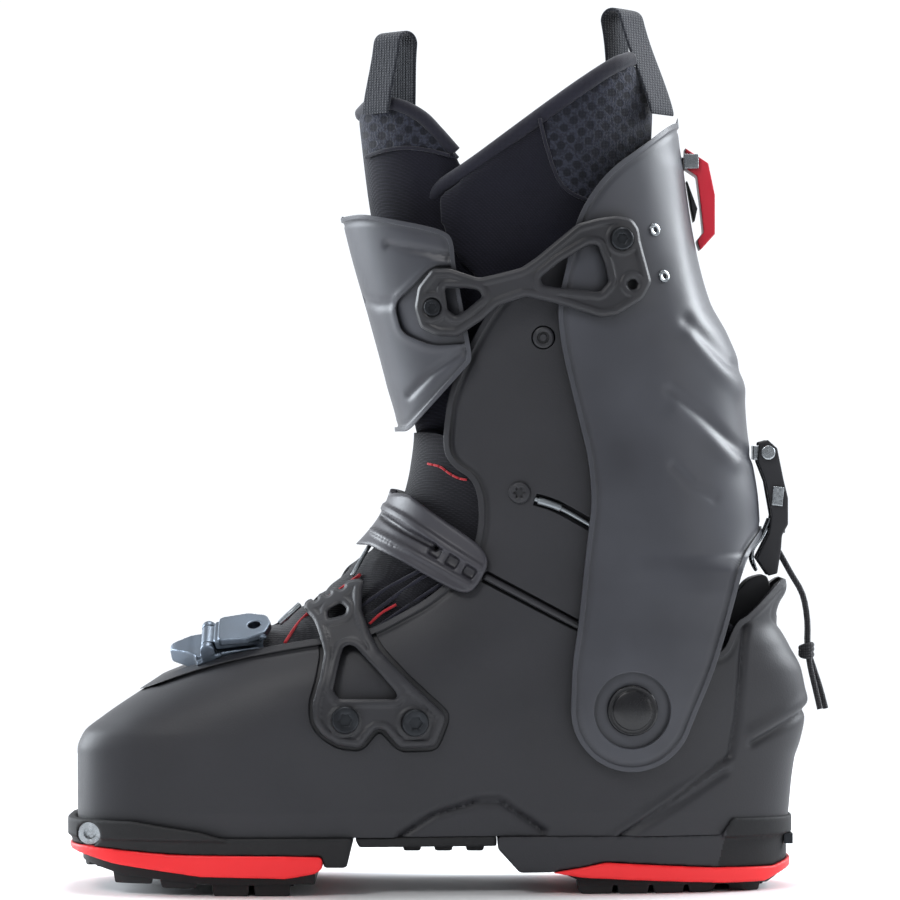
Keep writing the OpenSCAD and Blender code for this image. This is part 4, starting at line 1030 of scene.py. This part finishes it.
band = sole_piece("heel_band", [[47.9, 9.2], [60.3, 7.1], [120, 3.9], [136.5, 3.9], [151.1, 10.4],
                                [151.1, 13.7], [140, 10], [113.6, 10.5], [70.3, 13.3], [60.3, 11.2]],
                  2.4, 1.4)
finish_piece(soften(band, 0.7, 3), RED, "shell", ["heel_red_band"])


def lug(x0, x1, y0, y1, z0, z1, skew=2.0):
    """One moulded lug, narrower at the ground."""
    verts = []
    for z, g in ((z1, 0.0), (z0, 1.1)):
        verts += [(x0 + g, y0 + g, z), (x1 - g - skew, y0 + g, z), (x1 - g, y1 - g, z),
                  (x0 + g + skew, y1 - g, z)]
    faces = [(0, 1, 2, 3), (7, 6, 5, 4)]
    faces += [(i, i + 4, (i + 1) % 4 + 4, (i + 1) % 4) for i in range(4)]
    return outward(new_mesh("lug", verts, faces))


def tread(name, rows, off, base, node):
    """Rows of lugs (x0, x1, z0, z1, count across) inside the sole's plan, on a base."""
    lugs = []
    for x0, x1, z0, z1, cols in rows:
        w = 116 / cols
        for c in range(cols):
            y0 = -58 + c * w
            lugs.append(lug(x0, x1, y0 + 1.6, y0 + w - 1.6, z0, z1, 2.0 if c % 2 else -2.0))
    o = soften(join(name, lugs), 0.7, 2)
    cut(o, plan_core(off), "INTERSECT")
    finish_piece(join(name, [o, base]), RUBBER, "shell", [node], angle=40)


toe_base = sole_piece("toe_base", [[-146, 15.9], [-132, 12.6], [-96, 8.0], [-60, 7.3], [-49, 9.3], [-49, 5],
                                   [-90, 4.4], [-128, 8], [-150, 14]], -2, 0.8)
tread("toe_lugs", [(-147, -136, 10.6, 14.5, 4), (-131, -116, 4.6, 10, 5), (-112, -98, 3.0, 9, 5),
                   (-91, -77, 0, 8, 5), (-74, -60, 0, 8, 5)], -3, toe_base, "toe_tread")
heel_base = sole_piece("heel_base", [[54, 7.9], [64, 3.6], [138, 3.0], [148, 8.0], [149.3, 9.3],
                                     [136.5, 3.85], [120, 3.85], [60.3, 7.0]], -2.6, 0.6)
tread("heel_lugs", [(60, 73, 0.3, 5.5, 4), (76, 88, 0, 5, 4), (91, 103, 0, 5, 4), (106, 118, 0, 5, 4),
                    (121, 137, 0, 5, 4)], -2.6, heel_base, "heel_tread")
shank = sole_piece("shank", [[-31, 20], [25.4, 20], [25.4, FLOOR], [-33, FLOOR]], -1, 0.8)
arch = [lug(x, x + 9, y0, y0 + 20, 17, 21.5, 0) for x in (-14, -1, 12) for y0 in (-34, -11, 12)]
finish_piece(soften(join("arch_shank", [shank] + arch), 0.7, 2), RUBBER, "shell", ["sole_shank"])

# ---------------- gaiter
GAITER_OUT = [[-112, 86], [-110, 110], [-60, 135], [-35, 155], [-30, 190], [5, 190], [12, 178], [21, 168],
              [22, 148], [17, 133], [0, 117], [-28, 104], [-58, 100], [-84, 95]]


GAITER_SEAMS = [[(-30, 112), (-14, 124), (2, 135)], [(-38, 112), (-22, 124), (-6, 133)],
                [(-26, 108), (-10, 119), (8, 131)]]


def gaiter_shape(x, z, side):
    folds = 0.8 * np.sin(x * 0.22 + z * 0.3 + side) + 0.5 * np.sin(x * 0.45 - z * 0.16)
    return 2.9 + folds * ease((150 - z) / 30) + creases(x, z, [(path, 2.4, 0.9) for path in GAITER_SEAMS])


gaiter_us = np.linspace(1.3, 2.7, 230)
gaiter_zs = np.arange(84, 192.01, 1.1)
gaiter = plate_solid("gaiter_fabric_body",
                     push(sheet_grid(-4.9, gaiter_zs, gaiter_us), gaiter_shape, False),
                     sheet_grid(-8, gaiter_zs, gaiter_us))
keep(gaiter, rounded(GAITER_OUT, 8))
finish_piece(gaiter, GAITER, "shell", ["gaiter"], angle=38)


def stitches(name, path, off, body, long, gap, r):
    """Row of thread stitches laid on the medial surface."""
    line = spline([on_form(x, z, off) for x, z in path], 24)
    run = np.concatenate([[0], np.cumsum([np.linalg.norm(b - a) for a, b in zip(line, line[1:])])])
    parts = []
    s = 0.0
    while s + long < run[-1]:
        pts = [[np.interp(s + f * long, run, [p[i] for p in line]) for i in range(3)]
               for f in (0, 0.25, 0.5, 0.75, 1)]
        parts.append(wire_mesh("stitch", pts, r))
        s += long + gap
    finish_piece(join(name, parts), RED_THREAD, body)


def piping(name, path, surface, off, r, mat, body, sides=(-1,)):
    """Round cord, tape or seam that follows a path on a surface."""
    parts = [wire_mesh("pipe", spline([surface(x, z, off, side) for x, z in path], 10), r) for side in sides]
    finish_piece(join(name, parts), mat, body)


def fabric_top(x, z, off, side=-1):
    """Point on the gaiter, kept behind its front ridge."""
    return on_form(max(x, float(ring_front(z, -4)) + 1.2), z, off, side)


piping("gaiter_red_piping", [(-62, 103), (-57, 110.5), (-52, 116), (-45, 121), (-37, 126.5), (-31, 131)],
       fabric_top, -1.6, 0.75, RED_THREAD, "shell")
piping("gaiter_side_piping", [(-27, 111), (-22, 115.5), (-16, 119)],
       fabric_top, -1.7, 0.6, RED_THREAD, "shell")
ANKLE_SEAM = [(-3, 177), (2, 175.8), (6, 173), (10, 171), (15, 170.2)]
stitches("ankle_stitching", ANKLE_SEAM, -1.8, "shell", long=3.2, gap=0.5, r=0.5)
for k, seam in enumerate(GAITER_SEAMS):
    piping(f"gaiter_tape_{k}", seam, fabric_top, -2.3, 0.9, BINDING, "shell")

# ---------------- liner
LINER_FRONT = pchip([[140, 46], [225, 26], [250, -6], [275, -16], [300, -12], [330, 0], [350, 10]])
LINER_BACK = pchip([[140, 122], [165, 121], [190, 117], [214, 114], [245, 101], [272, 95], [301, 91],
                    [330, 92],
                    [350, 88]])
LINER_HALF = pchip([[140, 31], [225, 34], [262, 40], [300, 44], [350, 45]])
TONGUE_FRONT = pchip([[160, 0], [176, -5], [190, -9], [212, -12.5], [245, -20], [282, -28], [330, -34]])
TONGUE_HALF = pchip([[160, 24], [190, 22], [245, 30], [330, 33]])
LINER_CUT = [[130, 130], [130, 318], [95, 318], [90, 336], [81, 345.5], [72, 340], [55, 327.5], [40, 317],
             [25, 306], [14, 298], [6, 292], [-6, 283], [-20, 279], [-20, 225], [40, 130]]
TONGUE_CUT = [[-60, 171], [-3, 173], [38, 200], [42, 262], [14, 285], [13, 300.5], [4, 312], [-5, 321],
              [-18, 327.5], [-28, 328], [-33, 324], [-60, 324]]


def liner_oval(z, off):
    """Middle, half length, half width and squareness of the liner's ring at z."""
    f, b = LINER_FRONT(z) - off, LINER_BACK(z) + off
    return (f + b) / 2, (b - f) / 2, LINER_HALF(z) + off, 0.86


def tongue_oval(z, off):
    front = TONGUE_FRONT(z) - off
    return front + 48 + off, 48 + off, TONGUE_HALF(z) + off, 0.8


def oval_stack(oval, off, z0, z1, step=2.0, n=160):
    """Level rings of an oval from z0 to z1."""
    t = np.linspace(0, 2 * math.pi, n, endpoint=False)
    c, s = np.cos(t), np.sin(t)
    rings = []
    for z in np.arange(z0, z1 + 0.01, step):
        middle_x, long, wide, p = oval(z, off)
        rings.append(np.stack([middle_x + long * np.sign(c) * abs(c) ** p, wide * np.sign(s) * abs(s) ** p,
                               np.full(n, float(z))], 1))
    return np.array(rings)


def oval_side(oval):
    """Surface function of an oval's side, as piping wants it."""
    def at(x, z, off, side=-1):
        middle_x, long, wide, p = oval(z, off)
        u = min(0.999, abs(x - middle_x) / long) ** (1 / p)
        return (x, side * float(wide) * math.sqrt(max(0, 1 - u * u)) ** p, z)
    return at


def inflate(o, cap, frames=20, pressure=4.0):
    """Cloth simulation under pressure; no point moves further than cap."""
    start = np.array([v.co for v in o.data.vertices])
    c = o.modifiers.new("cloth", "CLOTH")
    c.settings.use_pressure = True
    c.settings.uniform_pressure_force = pressure
    c.settings.effector_weights.gravity = 0
    c.settings.quality = 4
    c.collision_settings.use_collision = False
    c.point_cache.frame_start, c.point_cache.frame_end = 1, frames
    for f in range(1, frames + 1):
        SCENE.frame_set(f)
    bpy.context.view_layer.update()
    me = o.evaluated_get(bpy.context.evaluated_depsgraph_get()).data
    end = np.array([v.co for v in me.vertices])
    o.modifiers.clear()
    SCENE.frame_set(1)
    move = end - start
    far = np.linalg.norm(move, axis=1, keepdims=True)
    move *= np.minimum(1, cap * MM / np.maximum(far, 1e-9))
    o.data.vertices.foreach_set("co", (start + move).ravel())
    o.modifiers.new("sub", "SUBSURF").levels = 1
    return bake(o)


# where the dotted mesh shows
MESH_PANEL = [(44, 330), (47, 309), (52, 292), (62, 286), (130, 280), (130, 350), (60, 350)]
TONGUE_PANEL = [(-60, 304), (-29, 305), (-16, 308), (0, 306), (20, 300), (20, 335), (-60, 335)]
shaft = tube_solid("liner_shaft_pad", oval_stack(liner_oval, -0.6, 141, 350))
cut(shaft, tube_solid("core", oval_stack(liner_oval, -6.4, 139, 352)))
keep(shaft, rounded(LINER_CUT, 7))
cut(shaft, tube_solid("core", oval_stack(tongue_oval, 1.2, 186, 352)))
shaft = inflate(soften(shaft, 2.2, 4), 1.6)
finish_piece(shaft, [LINER, SPACER], "cuff", ["liner_shaft"])
panel(shaft, MESH_PANEL)
tongue = tube_solid("liner_tongue_pad", oval_stack(tongue_oval, -0.5, 160, 330))
cut(tongue, tube_solid("core", oval_stack(tongue_oval, -5.6, 158, 332)))
keep(tongue, rounded(TONGUE_CUT, 7), -90, 90)
tongue = inflate(soften(tongue, 2.2, 4), 1.4)
finish_piece(tongue, [LINER, SPACER], "cuff", ["liner_tongue"])
panel(tongue, TONGUE_PANEL)
foot = finish_piece(soften(from_cad("liner_foot", "liner_foot_pad"), 2.0, 6), LINING, "shell",
                    ["liner_foot"])


def tape(name, path, oval, off, r):
    """Seam or binding on both sides of the liner."""
    piping(name, path, oval_side(oval), off, r, BINDING, "cuff", BOTH)


WRAP_EDGE = [(-3, 276), (-2, 285), (3, 291.5), (12, 297.5), (20, 303), (33, 312.5), (48, 323.5), (62, 333.5),
             (74, 341.5), (81, 344.8)]
TONGUE_EDGE = [(8, 306), (1, 314), (-6, 321), (-16, 326), (-26, 326.6), (-31, 324)]
tape("liner_edge_binding", WRAP_EDGE, liner_oval, -3.2, 3.4)
PANEL_SEAM = [(43, 319), (46, 307), (52, 292), (63, 285.5), (78, 283)]
TONGUE_SEAM = [(-29, 305), (-22, 307), (-12, 308), (-2, 306.6), (6, 304.5)]
tape("liner_panel_seam", PANEL_SEAM, liner_oval, 0.5, 0.8)
tape("tongue_panel_seam", TONGUE_SEAM, tongue_oval, 0.4, 0.8)
tape("tongue_edge_binding", TONGUE_EDGE, tongue_oval, -2.6, 2.9)


# ---------------- webbing loops
TAPE_HALF_T = 0.75
FOLD_R = 4.5


def webbing_loop(name, node, place, half, inner, outer, low_in, low_out, top):
    """Band of tape bent over at the top, its legs drawn together there."""
    first, last, mid, bend = inner + 0.9, outer - 0.9, (outer + inner) / 2, top - FOLD_R - 0.9
    rise = [ease(t) for t in np.linspace(0, 1, 9)]
    path = [(first + (mid - FOLD_R - first) * t, low_in + (bend - low_in) * k / 8)
            for k, t in enumerate(rise)]
    path += [(mid - FOLD_R * math.cos(a), bend + FOLD_R * math.sin(a))
             for a in np.linspace(0.2, math.pi - 0.2, 13)]
    path += [(last + (mid + FOLD_R - last) * t, low_out + (bend - low_out) * (8 - k) / 8)
             for k, t in enumerate(rise[::-1])]
    grids = []
    for out in (1, -1):
        rows = []
        for i, (x, z) in enumerate(path):
            t = np.subtract(path[min(len(path) - 1, i + 1)], path[max(0, i - 1)])
            t /= np.linalg.norm(t)
            row = []
            for v in np.linspace(-1, 1, 15):
                edge = 0.25 * ease((abs(v) - 0.8) / 0.2)
                rib = 0.12 * math.cos(v * half * 2.4)
                lift = out * (TAPE_HALF_T * (1 - edge) + rib)
                row.append((x - t[1] * lift, v * half * 0.97, z + t[0] * lift))
            rows.append(row)
        grids.append(np.array(rows))
    o = plate_solid(name, grids[0], grids[1])
    o.modifiers.new("sub", "SUBSURF").levels = 2
    bake(o)
    o.data.transform(place)
    finish_piece(o, WEBBING, "cuff", [node])


def turned(at, yaw, pitch):
    return (Matrix.Translation(Vector(at) * MM) @ Matrix.Rotation(math.radians(yaw), 4, "Z")
            @ Matrix.Rotation(math.radians(pitch), 4, "Y"))


webbing_loop("front_pull_loop", "front_loop", turned((-22.5, -22, 326), 40, 7), 9, -3.4, 12.4, -4, -6, 32)
webbing_loop("rear_pull_loop", "rear_loop", turned((83, -14, 338), -32, -14), 10, -9.8, 10.4, -14, -19, 30)

# ---------------- CAD nodes that keep their shape
KEPT = {"boot_board": RUBBER, "toe_insert": STEEL, "heel_insert": DARK_STEEL, "sole_screws": STEEL}
for node, mat in KEPT.items():
    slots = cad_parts[node].data.materials
    slots.clear()
    slots.append(mat)

# ---------------- stage and light
rim_points = [(x + 6, z, 0) for x, z in circle(0, 0, 850, 96)]
floor = new_mesh("floor", rim_points, [tuple(range(96))])
pale = Tree("pale_floor")
floor_tint = pale.mix(pale.noise(3, 2), (0.86, 0.87, 0.88, 1), (0.9, 0.9, 0.91, 1))
floor.data.materials.append(pale.set(Base_Color=floor_tint, Roughness=0.7))
world = bpy.data.worlds.new("studio")
world.use_nodes = True
tree = world.node_tree
where = tree.nodes.new("ShaderNodeTexCoord").outputs["Generated"]
split = tree.nodes.new("ShaderNodeSeparateXYZ")
ramp = tree.nodes.new("ShaderNodeMapRange")
ramp.interpolation_type = "SMOOTHSTEP"
for k, v in enumerate((-0.25, 0.75, 0.36, 1.12)):
    ramp.inputs[k + 1].default_value = v
tree.links.new(where, split.inputs[0])
tree.links.new(split.outputs["Y"], ramp.inputs[0])
tree.links.new(ramp.outputs[0], tree.nodes["Background"].inputs[1])
tree.nodes["Background"].inputs[0].default_value = (0.93, 0.96, 1.0, 1)
SCENE.world = world


def area(name, at, aim, size, power, colour=(1, 1, 1)):
    d = bpy.data.lights.new(name, "AREA")
    d.shape, d.size, d.energy, d.color = "DISK", size, power, colour
    o = bpy.data.objects.new(name, d)
    o.location = at
    o.rotation_euler = (Vector(aim) - Vector(at)).to_track_quat("-Z", "Y").to_euler()
    SCENE.collection.objects.link(o)


area("key", (-0.8, -1.5, 1.5), middle, 0.7, 15)
area("top", (0.1, 0.2, 2.0), middle, 0.9, 20)
area("fill", (1.5, -1.2, 0.4), middle, 1.0, 4)
area("rim_left", (-1.3, 0.6, 0.5), middle, 0.8, 24, (0.88, 0.94, 1))
area("rim_right", (1.3, 0.5, 0.8), middle, 0.8, 26, (0.9, 0.95, 1))
